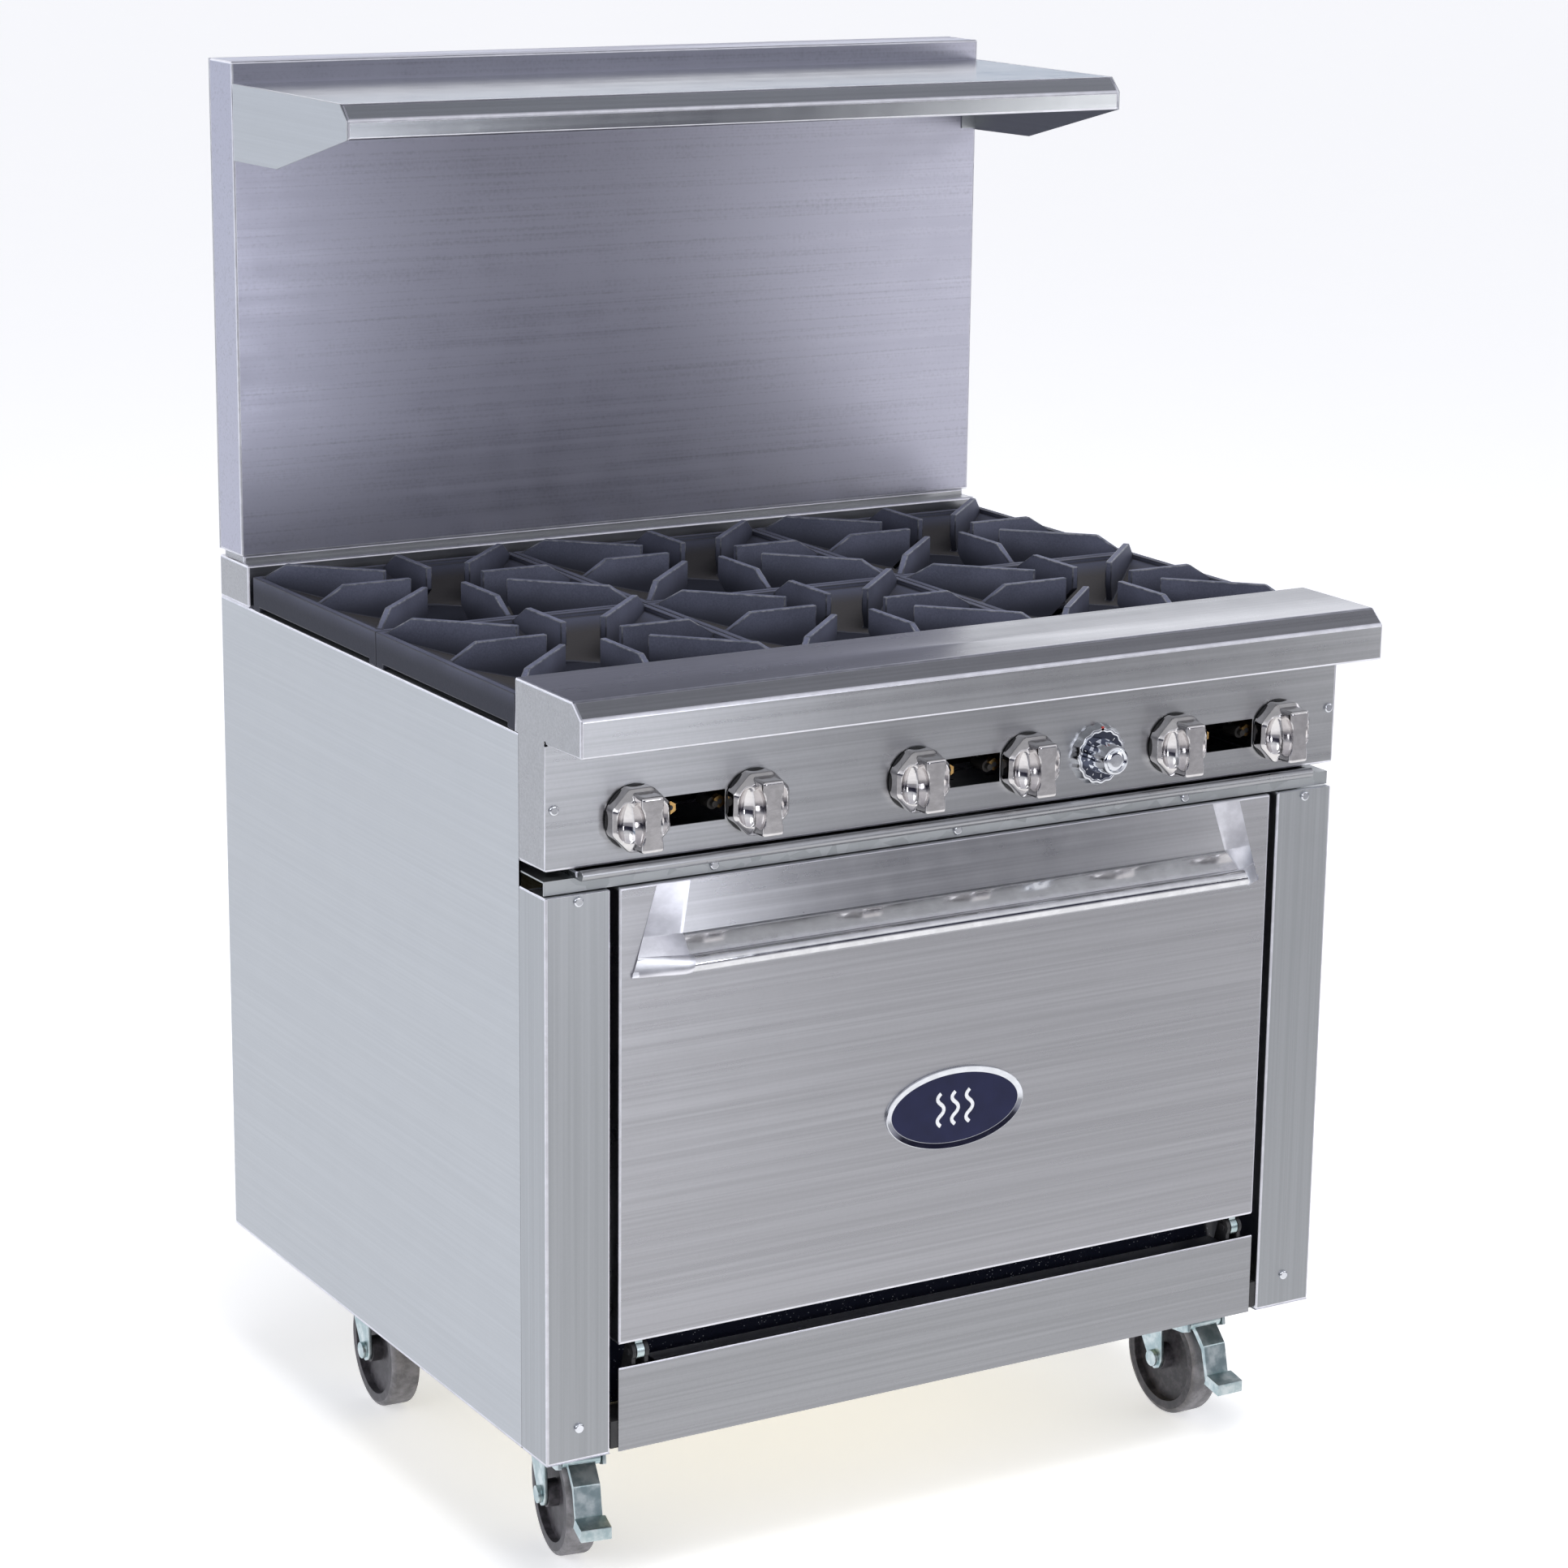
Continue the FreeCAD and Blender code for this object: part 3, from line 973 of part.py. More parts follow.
def brake_pedal():
    """Bent brake lever in front of a caster wheel, hung on a cross pin in the fork, with a foot tab."""
    half = WHEEL_WIDTH / 2 + FORK_SIDE_GAP - 1
    t = PEDAL_SHEET
    pivot = (-TRAIL - PEDAL_PIVOT_OUT, WHEEL_Z + PEDAL_PIVOT_UP)
    bend = (-TRAIL - WHEEL_R - 6, WHEEL_Z + WHEEL_R / 2)
    foot = (-TRAIL - WHEEL_R - 16, WHEEL_Z - 4)
    outline = [(pivot[0], pivot[1] + t), (bend[0] - t, bend[1] + t), (foot[0] - t, foot[1]),
               (foot[0], foot[1]), (bend[0], bend[1]), (pivot[0], pivot[1] - t)]
    lever = prism_x(outline, -half + 6, half - 6)
    eye = rod((-half, pivot[0], pivot[1]), (half, pivot[0], pivot[1]), PEDAL_EYE_R)
    tab = prism_x([(foot[0], foot[1]), (foot[0] - PEDAL_TAB, foot[1] - 5), (foot[0] - PEDAL_TAB, foot[1] + 8),
                   (foot[0] - t, foot[1] + 12)], -half + 4, half - 4)
    bore = rod((-half - 1, pivot[0], pivot[1]), (half + 1, pivot[0], pivot[1]), PEDAL_PIN_R + STEM_FIT)
    return fuse([lever, eye, tab]).cut(bore)


def braked_fork():
    """The plain fork with two cheeks and a cross pin for the brake pedal."""
    fork, axle = caster_fork()
    inner = WHEEL_WIDTH / 2 + FORK_SIDE_GAP
    z1 = -PLATE_THICK - RACE_DEPTH - 0.3
    py = -TRAIL - PEDAL_PIVOT_OUT
    pz = WHEEL_Z + PEDAL_PIVOT_UP
    cheek = prism_x([(-TRAIL, z1), (py - 6, z1), (py - PEDAL_EYE_R - 2, pz - 6), (py, pz - PEDAL_EYE_R - 2),
                     (-TRAIL, pz - 16)], inner, inner + FORK_SHEET)
    pin = rod((-inner - FORK_SHEET, py, pz), (inner + FORK_SHEET, py, pz), PEDAL_PIN_R)
    return [fuse([fork] + both_sides(cheek) + [pin]), axle]


def placed_caster(shape, name):
    cx, cy = caster_places()[name]
    return turned(moved(shape, cx, cy, 0), (cx, cy, 0), CASTER_YAW[name])


# ---- export -------------------------------------------------------------------------------------
def export(name, shapes):
    if not isinstance(shapes, list):
        shapes = [shapes]
    solids = []
    for shape in shapes:
        solids += shape.Solids
    whole = solids[0] if len(solids) == 1 else Part.makeCompound(solids)
    whole = moved(whole, ORIGIN_SHIFT.x, ORIGIN_SHIFT.y, ORIGIN_SHIFT.z)
    whole.exportStep("parts/" + name + ".step")


def main():
    os.makedirs("parts", exist_ok=True)
    export("base_frame", base_frame())
    export("left_side_panel", mirrored(side_panel()))
    export("right_side_panel", side_panel())
    export("left_front_post", mirrored(front_post()))
    export("right_front_post", front_post())
    export("kick_panel", kick_panel())
    export("back_panel", back_panel())
    export("control_panel", control_panel())
    export("oven_top_frame", oven_top_frame())
    export("body_screws", body_screws())
    export("riser_base", riser_base())
    export("backguard_front", backguard_front())
    export("backguard_back", backguard_back())
    export("high_shelf", high_shelf())
    export("shelf_brackets", shelf_brackets())
    export("grate_frame", grate_frame())
    casting = grate()
    for j, row in enumerate(("front", "back")):
        for i, column in enumerate(("left", "middle", "right")):
            export(row + "_" + column + "_grate", moved(casting, COLUMN_X[i], ROW_Y[j], 0))
    export("burner_bases", burner_bases())
    export("burner_heads", burner_heads())
    export("manifold_pipe", manifold_pipe())
    export("gas_valves", gas_valves())
    export("pilot_valves", pilot_valves())
    for i, x in enumerate(KNOB_X):
        export("burner_knob_" + str(i + 1), knob(x))
    export("thermostat_bezel", thermostat_bezel())
    export("thermostat_dial", thermostat_dial())
    export("oven_liner", oven_liner())
    export("oven_floor", oven_floor())
    export("oven_burner", oven_burner())
    export("rack_guides", rack_guides())
    export("oven_rack", oven_rack())
    export("oven_insulation", oven_insulation())
    export("hinge_brackets", hinge_brackets())
    export("hinge_arms", hinge_arms())
    export("door_skin", door_skin())
    export("door_liner", door_liner())
    export("door_insulation", door_insulation())
    export("door_handle", door_handle())
    export("door_badge", door_badge())
    export("crumb_tray", crumb_tray())
    export("caster_plates", caster_plates())
    for name in caster_places():
        braked = name.startswith("front")
        fork = braked_fork() if braked else caster_fork()
        export(name + "_fork", [placed_caster(piece, name) for piece in fork])
        export(name + "_wheel", placed_caster(caster_wheel(), name))
        if braked:
            export(name + "_pedal", placed_caster(brake_pedal(), name))


main()
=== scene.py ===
"""Looks of a six-burner gas range: folded sheet panels, cast grates, chrome knobs, oven and casters."""
import json
import math

import bmesh
import bpy
from bpy.props import FloatProperty, FloatVectorProperty, IntProperty, PointerProperty
from mathutils import Matrix, Vector


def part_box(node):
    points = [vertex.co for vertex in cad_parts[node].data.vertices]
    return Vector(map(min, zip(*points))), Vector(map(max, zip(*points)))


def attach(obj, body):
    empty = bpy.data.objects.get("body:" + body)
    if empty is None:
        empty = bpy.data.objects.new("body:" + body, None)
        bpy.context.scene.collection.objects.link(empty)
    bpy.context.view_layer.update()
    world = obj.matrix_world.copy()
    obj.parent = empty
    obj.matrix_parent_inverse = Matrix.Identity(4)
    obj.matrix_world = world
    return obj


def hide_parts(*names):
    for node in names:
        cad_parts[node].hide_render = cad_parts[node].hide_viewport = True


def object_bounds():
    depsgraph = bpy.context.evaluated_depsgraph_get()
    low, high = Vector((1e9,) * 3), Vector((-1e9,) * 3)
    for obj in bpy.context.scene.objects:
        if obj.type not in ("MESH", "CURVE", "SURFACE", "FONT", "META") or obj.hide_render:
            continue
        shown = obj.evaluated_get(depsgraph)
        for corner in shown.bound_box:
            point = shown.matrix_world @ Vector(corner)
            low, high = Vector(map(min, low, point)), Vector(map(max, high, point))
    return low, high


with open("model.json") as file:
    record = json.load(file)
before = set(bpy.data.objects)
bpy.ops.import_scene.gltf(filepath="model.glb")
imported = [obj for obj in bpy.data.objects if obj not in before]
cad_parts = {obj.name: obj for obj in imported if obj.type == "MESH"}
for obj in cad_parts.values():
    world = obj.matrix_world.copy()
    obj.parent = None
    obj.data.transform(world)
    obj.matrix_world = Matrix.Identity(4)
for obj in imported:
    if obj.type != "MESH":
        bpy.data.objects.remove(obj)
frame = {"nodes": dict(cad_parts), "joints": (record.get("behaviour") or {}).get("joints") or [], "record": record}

bl_info = {
    "name": "Gas range",
    "version": (1, 0, 0),
    "blender": (4, 5, 0),
    "location": "3D View > Sidebar > Range",
    "description": "Finishes and detailed pieces of a six-burner gas range",
    "category": "Object",
}

CAD_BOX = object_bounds()
MM = 0.001
TAU = 2 * math.pi
FACING_FRONT = (math.pi / 2, 0, 0)
KNOBS = ["burner_knob_" + str(k + 1) for k in range(6)]
ROWS = ("front", "back")
COLUMNS = ("left", "middle", "right")
GRATES = [row + "_" + column + "_grate" for row in ROWS for column in COLUMNS]
CASTERS = ("front_left", "front_right", "back_left", "back_right")
BODY_OF = {node: body for body, nodes in frame["record"]["behaviour"]["bodies"].items() for node in nodes}
JOINTS = {joint["name"]: joint for joint in frame["joints"]}
FRONT_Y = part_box("left_front_post")[0].y


# ---- sizes and colours that can be changed ------------------------------------------------------
def length(name, text, default):
    return FloatProperty(name=name, description=text, default=default, min=0.0,
                         subtype="DISTANCE", unit="LENGTH")


def colour(name, text, default):
    return FloatVectorProperty(name=name, description=text, default=default, min=0.0, max=1.0,
                               size=3, subtype="COLOR")


class RangeSizes(bpy.types.PropertyGroup):
    fold_outer: length("Fold radius", "Outside radius of a bend in the sheet", 2.4 * MM)
    fold_inner: length("Inner fold radius", "Inside radius of a bend in the sheet", 0.9 * MM)
    sheet_edge: length("Sheet edge", "Rounding of a cut sheet edge", 0.35 * MM)
    cast_edge: length("Casting edge", "Rounding of the edges of a casting", 1.3 * MM)
    knob_scoop: length("Knob scoop", "Half width of the finger scoops of a knob", 11.7 * MM)
    dial_flutes: IntProperty(name="Dial flutes", description="Flutes round the dial's bezel",
                             default=16, min=6, max=40)


class RangeColours(bpy.types.PropertyGroup):
    # One stainless throughout: the tints differ as painted light, the sides lighter and bluish, the door lighter
    # than the panels, the back guard bluish, for the reflections each shows.
    panel: colour("Panels", "Brushed stainless of the body", (0.445, 0.45, 0.465))
    door: colour("Door", "Brushed stainless of the door", (0.52, 0.52, 0.54))
    side: colour("Sides", "Stainless of the side panels", (0.60, 0.62, 0.64))
    guard: colour("Back guard", "Brushed stainless of the back guard", (0.45, 0.45, 0.53))
    casting: colour("Castings", "Heat-blued cast iron", (0.105, 0.112, 0.160))
    # Near-black bowl colour: sooty dirt, and painted shade for the deep bowls.
    bowl: colour("Bowls", "Sooty inside of the grates", (0.040, 0.038, 0.040))
    polished: colour("Polished", "Polished cast knobs", (0.74, 0.72, 0.72))
    plating: colour("Plating", "Zinc plate of the casters", (0.52, 0.66, 0.68))
    enamel: colour("Badge", "Enamel of the badge", (0.008, 0.010, 0.040))
    rubber: colour("Wheels", "Wheel rubber", (0.050, 0.046, 0.052))


def sizes():
    return bpy.context.scene.range_sizes


def colours():
    return bpy.context.scene.range_colours


# ---- shader maths -------------------------------------------------------------------------------
class Wire:
    """A socket of a material's nodes: arithmetic on it adds Math nodes."""

    def __init__(self, finish, socket):
        self.finish = finish
        self.socket = socket

    def math(self, operation, first, second):
        return self.finish.node("ShaderNodeMath", {"operation": operation}, {0: first, 1: second})

    def __add__(self, other):
        return self.math("ADD", self, other)

    def __radd__(self, other):
        return self.math("ADD", other, self)

    def __rsub__(self, other):
        return self.math("SUBTRACT", other, self)

    def __mul__(self, other):
        return self.math("MULTIPLY", self, other)

    def __rmul__(self, other):
        return self.math("MULTIPLY", other, self)


class Finish:
    """A material being made, with its object coordinates and its surface shader."""

    def __init__(self, name, **surface):
        self.material = bpy.data.materials.new(name)
        self.material.use_nodes = True
        self.tree = self.material.node_tree
        self.shader = self.tree.nodes["Principled BSDF"]
        self.place = self.node("ShaderNodeTexCoord", out="Object")
        self.surface(**surface)

    def feed(self, socket, value):
        if isinstance(value, Wire):
            self.tree.links.new(value.socket, socket)
        else:
            socket.default_value = value

    def node(self, kind, settings=None, inputs=None, out=0):
        made = self.tree.nodes.new(kind)
        for key, value in (settings or {}).items():
            setattr(made, key, value)
        for key, value in (inputs or {}).items():
            self.feed(made.inputs[key], value)
        return Wire(self, made.outputs[out])

    def surface(self, **sockets):
        """Sets the surface shader's sockets; metallic=1 means Metallic, base_color means Base Color."""
        names = {s.name.lower().replace(" ", "_"): s.name for s in self.shader.inputs}
        for key, value in sockets.items():
            self.feed(self.shader.inputs[names[key]], value)

    def stretched(self, scale):
        return self.node("ShaderNodeMapping", None, {"Vector": self.place, "Scale": scale})

    def noise(self, scale, detail=2.0, roughness=0.5):
        where = self.stretched(scale)
        inputs = {"Vector": where, "Scale": 1.0, "Detail": detail, "Roughness": roughness}
        return self.node("ShaderNodeTexNoise", None, inputs)

    def cells(self, scale, out="Distance"):
        where = self.stretched(scale)
        return self.node("ShaderNodeTexVoronoi", None, {"Vector": where, "Scale": 1.0}, out)

    def band(self, value, low, high):
        """0 below low, 1 above high, eased between."""
        inputs = {"Value": value, "From Min": low, "From Max": high}
        return self.node("ShaderNodeMapRange", {"interpolation_type": "SMOOTHSTEP"}, inputs)

    def mixed(self, factor, first, second):
        a = first if isinstance(first, Wire) else (*first, 1.0)
        b = second if isinstance(second, Wire) else (*second, 1.0)
        return self.node("ShaderNodeMix", {"data_type": "RGBA"}, {0: factor, 6: a, 7: b}, 2)

    def bump(self, height, distance, strength):
        inputs = {"Height": height, "Distance": distance, "Strength": strength}
        return self.node("ShaderNodeBump", None, inputs)

    def axis(self, letter):
        return self.node("ShaderNodeSeparateXYZ", None, {0: self.place}, letter)

    def facing_up(self):
        normal = self.node("ShaderNodeNewGeometry", out="Normal")
        return self.node("ShaderNodeSeparateXYZ", None, {0: normal}, "Z")


def scaled(tint, share):
    return tuple(min(1.0, c * share) for c in tint)


# ---- finishes -----------------------------------------------------------------------------------
GRAIN_FINE = 380.0
GRAIN_COARSE = 95.0
GRAIN_LONG = 2.5


def grain_scale(along, across, lengthwise):
    return tuple(lengthwise if axis == along else across for axis in "XYZ")


def brushed(name, tint, along="X", roughness=0.30, mottle=0.10, anisotropy=0.55, contrast=0.7):
    """Stainless sheet brushed along one axis, with fine lines, broad streaks and faint blotches."""
    f = Finish(name, metallic=1.0, anisotropic=anisotropy, anisotropic_rotation=0.25)
    lines = f.noise(grain_scale(along, GRAIN_FINE, GRAIN_LONG), 1.0)
    streaks = f.noise(grain_scale(along, GRAIN_COARSE, GRAIN_LONG / 2), 2.0)
    blotches = f.noise((26.0, 26.0, 26.0), 3.0, 0.6)
    speckle = f.noise((260.0, 260.0, 260.0), 1.0)
    shade = 0.45 * lines + 0.25 * streaks + 0.5 * mottle * blotches + mottle * speckle
    dull = scaled(tint, 1.0 - 0.16 * contrast)
    bright = scaled(tint, 1.0 + 0.12 * contrast)
    f.surface(base_color=f.mixed(f.band(shade, 0.25, 0.62), dull, bright))
    f.surface(roughness=roughness - 0.06 + 0.10 * streaks + 0.08 * blotches)
    f.surface(normal=f.bump(streaks, 0.00002 * contrast, 0.4))
    return f.material


def galvanised():
    """Sheet with the leafy crystals of hot-dip zinc."""
    f = Finish("galvanised_sheet", metallic=1.0)
    crystals = f.cells((55.0, 55.0, 80.0), "Color")
    leaf = f.node("ShaderNodeSeparateColor", None, {0: crystals})
    cloud = f.noise((9.0, 9.0, 9.0), 3.0)
    f.surface(base_color=f.mixed(leaf * 0.6 + cloud * 0.4, (0.36, 0.38, 0.39), (0.60, 0.62, 0.63)))
    f.surface(roughness=0.34 + 0.2 * leaf)
    f.surface(normal=f.bump(f.noise((300.0, 300.0, 300.0)), 0.00003, 0.5))
    return f.material


def painted_steel():
    f = Finish("black_painted_steel", metallic=0.0)
    peel = f.noise((240.0, 240.0, 240.0), 2.0)
    dust = f.noise((14.0, 14.0, 14.0), 4.0, 0.6)
    f.surface(base_color=f.mixed(f.band(dust, 0.4, 0.7), (0.018, 0.018, 0.020), (0.045, 0.043, 0.042)))
    f.surface(roughness=0.42 + 0.2 * dust)
    f.surface(normal=f.bump(peel, 0.00012, 0.5))
    return f.material


def cast_iron():
    """Blue-grey cast iron with a sandy skin, painted darker low on the blades as painted shade, and a near-black
    tint on the low faces that face up: sooty dirt and painted shade.
    """
    f = Finish("blued_cast_iron", metallic=0.15, specular_ior_level=0.22)
    sand = f.noise((520.0, 520.0, 520.0), 3.0, 0.6)
    lumps = f.noise((70.0, 70.0, 70.0), 2.0)
    clouds = f.noise((12.0, 12.0, 12.0), 3.0)
    tint = tuple(colours().casting)
    skin = f.mixed(f.band(clouds * 0.6 + sand * 0.4, 0.3, 0.7), scaled(tint, 0.78), scaled(tint, 1.30))
    rim_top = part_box("front_left_grate")[1].z - 22 * MM
    low = 1.0 - f.band(f.axis("Z"), rim_top - 9 * MM, rim_top)
    # Near-black tint on low surfaces facing up: sooty dirt and painted shade.
    soot_and_painted_shade = f.band(f.facing_up(), 0.55, 0.93) * low
    # Painted shade: the skin darkens towards the bottom of the blades.
    depth = f.band(f.axis("Z"), rim_top - 12 * MM, rim_top + 20 * MM)
    painted_shade_skin = f.mixed(depth, scaled(tint, 0.30), skin)
    f.surface(base_color=f.mixed(soot_and_painted_shade, painted_shade_skin, tuple(colours().bowl)))
    f.surface(roughness=0.52 + 0.16 * sand + 0.20 * soot_and_painted_shade)
    f.surface(normal=f.bump(sand + 1.6 * lumps, 0.00016, 0.7))
    return f.material


def worn_edge():
    """Edge of a casting, lighter grey along the top where pans rub it and as a painted highlight, dark lower down
    as painted shade.
    """
    f = Finish("worn_cast_edge", metallic=0.35)
    rub = f.noise((130.0, 130.0, 130.0), 3.0, 0.6)
    worn_grey_with_highlight = f.mixed(f.band(rub, 0.35, 0.65), (0.085, 0.093, 0.120), (0.20, 0.205, 0.235))
    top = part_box("front_left_grate")[1].z
    # Painted light: dark below as painted shade, worn grey with painted highlight along the top.
    height = f.band(f.axis("Z"), top - 14 * MM, top - 6 * MM)
    f.surface(base_color=f.mixed(height, (0.045, 0.047, 0.062), worn_grey_with_highlight))
    f.surface(roughness=0.34 + 0.22 * rub)
    f.surface(normal=f.bump(rub, 0.0001, 0.5))
    return f.material


def polished(name, tint, roughness=0.12):
    f = Finish(name, metallic=1.0)
    smears = f.noise((60.0, 60.0, 90.0), 3.0, 0.6)
    pits = f.noise((700.0, 700.0, 700.0), 1.0)
    f.surface(base_color=f.mixed(f.band(smears, 0.35, 0.7), scaled(tint, 0.92), scaled(tint, 1.06)))
    f.surface(roughness=roughness - 0.03 + 0.10 * smears)
    f.surface(normal=f.bump(smears + 0.3 * pits, 0.00005, 0.5))
    return f.material


def zinc_plate():
    """Bright zinc with its blue passivation."""
    f = Finish("zinc_plate", metallic=1.0)
    clouds = f.noise((70.0, 70.0, 70.0), 3.0, 0.6)
    tint = tuple(colours().plating)
    f.surface(base_color=f.mixed(f.band(clouds, 0.35, 0.7), scaled(tint, 0.85), (0.78, 0.86, 0.86)))
    f.surface(roughness=0.26 + 0.2 * clouds)
    f.surface(normal=f.bump(f.noise((500.0, 500.0, 500.0)), 0.00004, 0.5))
    return f.material


def brass():
    f = Finish("turned_brass", metallic=1.0)
    tarnish = f.noise((180.0, 180.0, 180.0), 3.0, 0.6)
    f.surface(base_color=f.mixed(f.band(tarnish, 0.35, 0.7), (0.78, 0.50, 0.19), (0.50, 0.29, 0.10)))
    f.surface(roughness=0.22 + 0.22 * tarnish)
    f.surface(normal=f.bump(tarnish, 0.00005, 0.5))
    return f.material


def black_pipe():
    f = Finish("black_iron_pipe", metallic=0.4)
    scale = f.noise((120.0, 40.0, 120.0), 3.0, 0.6)
    f.surface(base_color=f.mixed(scale, (0.016, 0.015, 0.015), (0.06, 0.055, 0.05)))
    f.surface(roughness=0.4 + 0.25 * scale)
    f.surface(normal=f.bump(scale, 0.0002, 0.6))
    return f.material


def porcelain():
    """Dark blue-black enamel with pale flecks."""
    f = Finish("flecked_porcelain", coat_weight=0.6, coat_roughness=0.08)
    flecks = 1.0 - f.band(f.cells((330.0, 330.0, 330.0)), 0.10, 0.22)
    few = f.band(f.noise((90.0, 90.0, 90.0)), 0.48, 0.56)
    wave = f.noise((18.0, 18.0, 18.0), 2.0)
    f.surface(base_color=f.mixed(flecks * few, (0.014, 0.016, 0.030), (0.55, 0.57, 0.60)))
    f.surface(roughness=0.22 + 0.12 * wave)
    f.surface(normal=f.bump(wave, 0.0003, 0.4))
    return f.material


def glass_fibre():
    f = Finish("glass_fibre", roughness=0.95, sheen_weight=0.3)
    strands = f.noise((420.0, 60.0, 420.0), 4.0, 0.7)
    tufts = f.noise((38.0, 38.0, 38.0), 4.0, 0.6)
    wool = f.band(strands * 0.5 + tufts * 0.5, 0.3, 0.7)
    f.surface(base_color=f.mixed(wool, (0.62, 0.50, 0.25), (0.90, 0.84, 0.62)))
    f.surface(normal=f.bump(strands + 2.0 * tufts, 0.0015, 0.9))
    return f.material


def wheel_rubber():
    """Hard dark rubber, dusty grey where the tread has rolled."""
    f = Finish("wheel_rubber")
    scuffs = f.noise((90.0, 90.0, 90.0), 4.0, 0.65)
    grit = f.noise((600.0, 600.0, 600.0), 2.0)
    tint = tuple(colours().rubber)
    f.surface(base_color=f.mixed(f.band(scuffs, 0.38, 0.68), scaled(tint, 0.7), scaled(tint, 1.9)))
    f.surface(roughness=0.34 + 0.28 * scuffs)
    f.surface(normal=f.bump(grit + scuffs, 0.0001, 0.5))
    return f.material


def tread_grey():
    f = Finish("dusty_tread")
    dust = f.noise((60.0, 60.0, 60.0), 4.0, 0.65)
    grit = f.noise((480.0, 480.0, 480.0), 3.0)
    f.surface(base_color=f.mixed(f.band(dust, 0.3, 0.7), (0.13, 0.125, 0.13), (0.27, 0.26, 0.27)))
    f.surface(roughness=0.6 + 0.2 * dust)
    f.surface(normal=f.bump(grit, 0.0002, 0.6))
    return f.material


def enamel():
    f = Finish("badge_enamel", coat_weight=0.25, coat_roughness=0.05, specular_ior_level=0.15)
    depth = f.noise((40.0, 40.0, 40.0), 2.0)
    tint = tuple(colours().enamel)
    f.surface(base_color=f.mixed(depth, scaled(tint, 0.7), scaled(tint, 1.5)))
    f.surface(roughness=0.25 + 0.1 * depth)
    return f.material


def plain_paint(name, tint, roughness=0.4, shine=0.5):
    f = Finish(name, specular_ior_level=shine)
    fine = f.noise((300.0, 300.0, 300.0), 2.0)
    f.surface(base_color=f.mixed(fine, scaled(tint, 0.8), scaled(tint, 1.15)))
    f.surface(roughness=roughness + 0.1 * fine)
    return f.material


MATERIALS = {}


def make_finishes():
    c = colours()
    MATERIALS.update(
        panel=brushed("brushed_panel", tuple(c.panel), "X", 0.26, 0.10, 0.6),
        # The posts take the side tint darkened to 0.8: painted shade on the same stainless.
        post=brushed("brushed_post", scaled(tuple(c.side), 0.80), "Z", 0.34, 0.08, 0.3, 0.5),
        door=brushed("brushed_door", tuple(c.door), "X", 0.26, 0.08, 0.75),
        side=brushed("brushed_side", tuple(c.side), "Y", 0.40, 0.06, 0.2, 0.25),
        guard=brushed("brushed_guard", tuple(c.guard), "X", 0.30, 0.30, 0.7, 1.3),
        top=brushed("brushed_top", tuple(c.side), "X", 0.18, 0.10, 0.2, 0.4),
        ramp=polished("polished_sheet", (0.78, 0.78, 0.80), 0.08),
        # Lighter finish for outer bends and the handle's ends: a painted highlight.
        fold=polished("polished_fold", (0.88, 0.88, 0.93), 0.34),
        burner=plain_paint("sooty_burner", (0.016, 0.017, 0.024), 0.75, 0.02),
        galvanised=galvanised(),
        frame_steel=painted_steel(),
        cast_iron=cast_iron(),
        worn_edge=worn_edge(),
        knob=polished("polished_casting", tuple(c.polished), 0.10),
        chrome=polished("bright_chrome", (0.80, 0.82, 0.86), 0.06),
        zinc=zinc_plate(),
        brass=brass(),
        black_pipe=black_pipe(),
        porcelain=porcelain(),
        insulation=glass_fibre(),
        rubber=wheel_rubber(),
        tread=tread_grey(),
        enamel=enamel(),
        red=plain_paint("red_mark", (0.55, 0.03, 0.02)),
        dark=plain_paint("dark_fill", (0.02, 0.02, 0.022)),
        smoked=polished("smoked_chrome", (0.10, 0.11, 0.15), 0.10),
        white=plain_paint("white_fill", (0.75, 0.76, 0.78)),
    )


# ---- modelling helpers --------------------------------------------------------------------------
def only(*pieces):
    """Selects just these objects, the first one active."""
    bpy.ops.object.select_all(action="DESELECT")
    for piece in pieces:
        piece.select_set(True)
    bpy.context.view_layer.objects.active = pieces[0]


def edit(piece, mode="EDGE"):
    only(piece)
    bpy.ops.object.mode_set(mode="EDIT")
    bpy.ops.mesh.select_mode(type=mode)


def leave():
    bpy.ops.object.mode_set(mode="OBJECT")


def pick(kind, test):
    """In edit mode, selects exactly the verts, edges or faces that pass the test."""
    bpy.ops.mesh.select_all(action="DESELECT")
    data = bpy.context.edit_object.data
    mesh = bmesh.from_edit_mesh(data)
    for element in getattr(mesh, kind):
        if test(element):
            element.select_set(True)
    mesh.select_flush_mode()
    bmesh.update_edit_mesh(data)


def rounded(test, size, steps):
    """In edit mode, bevels the edges that pass the test."""
    pick("edges", test)
    bpy.ops.mesh.bevel(offset=size, segments=steps, affect="EDGES")


def modifier(piece, kind, **settings):
    """Adds a modifier, sets it up and applies it."""
    only(piece)
    made = piece.modifiers.new(kind.lower(), kind)
    for key, value in settings.items():
        setattr(made, key, value)
    bpy.ops.object.modifier_apply(modifier=made.name)


def grounded(piece, name):
    """Names a piece and puts its place into its mesh."""
    only(piece)
    bpy.ops.object.transform_apply(location=True, rotation=True, scale=True)
    piece.name = name
    piece.data.name = name
    return piece


def joined(name, pieces):
    only(*pieces)
    if len(pieces) > 1:
        bpy.ops.object.join()
    return grounded(pieces[0], name)


def outward(piece):
    edit(piece, "FACE")
    bpy.ops.mesh.select_all(action="SELECT")
    bpy.ops.mesh.remove_doubles(threshold=WELD)
    bpy.ops.mesh.normals_make_consistent(inside=False)
    leave()


def smooth(piece, degrees=35.0, weighted=True):
    only(piece)
    bpy.ops.object.shade_smooth_by_angle(angle=math.radians(degrees))
    if weighted:
        modifier(piece, "WEIGHTED_NORMAL", keep_sharp=True, weight=80)


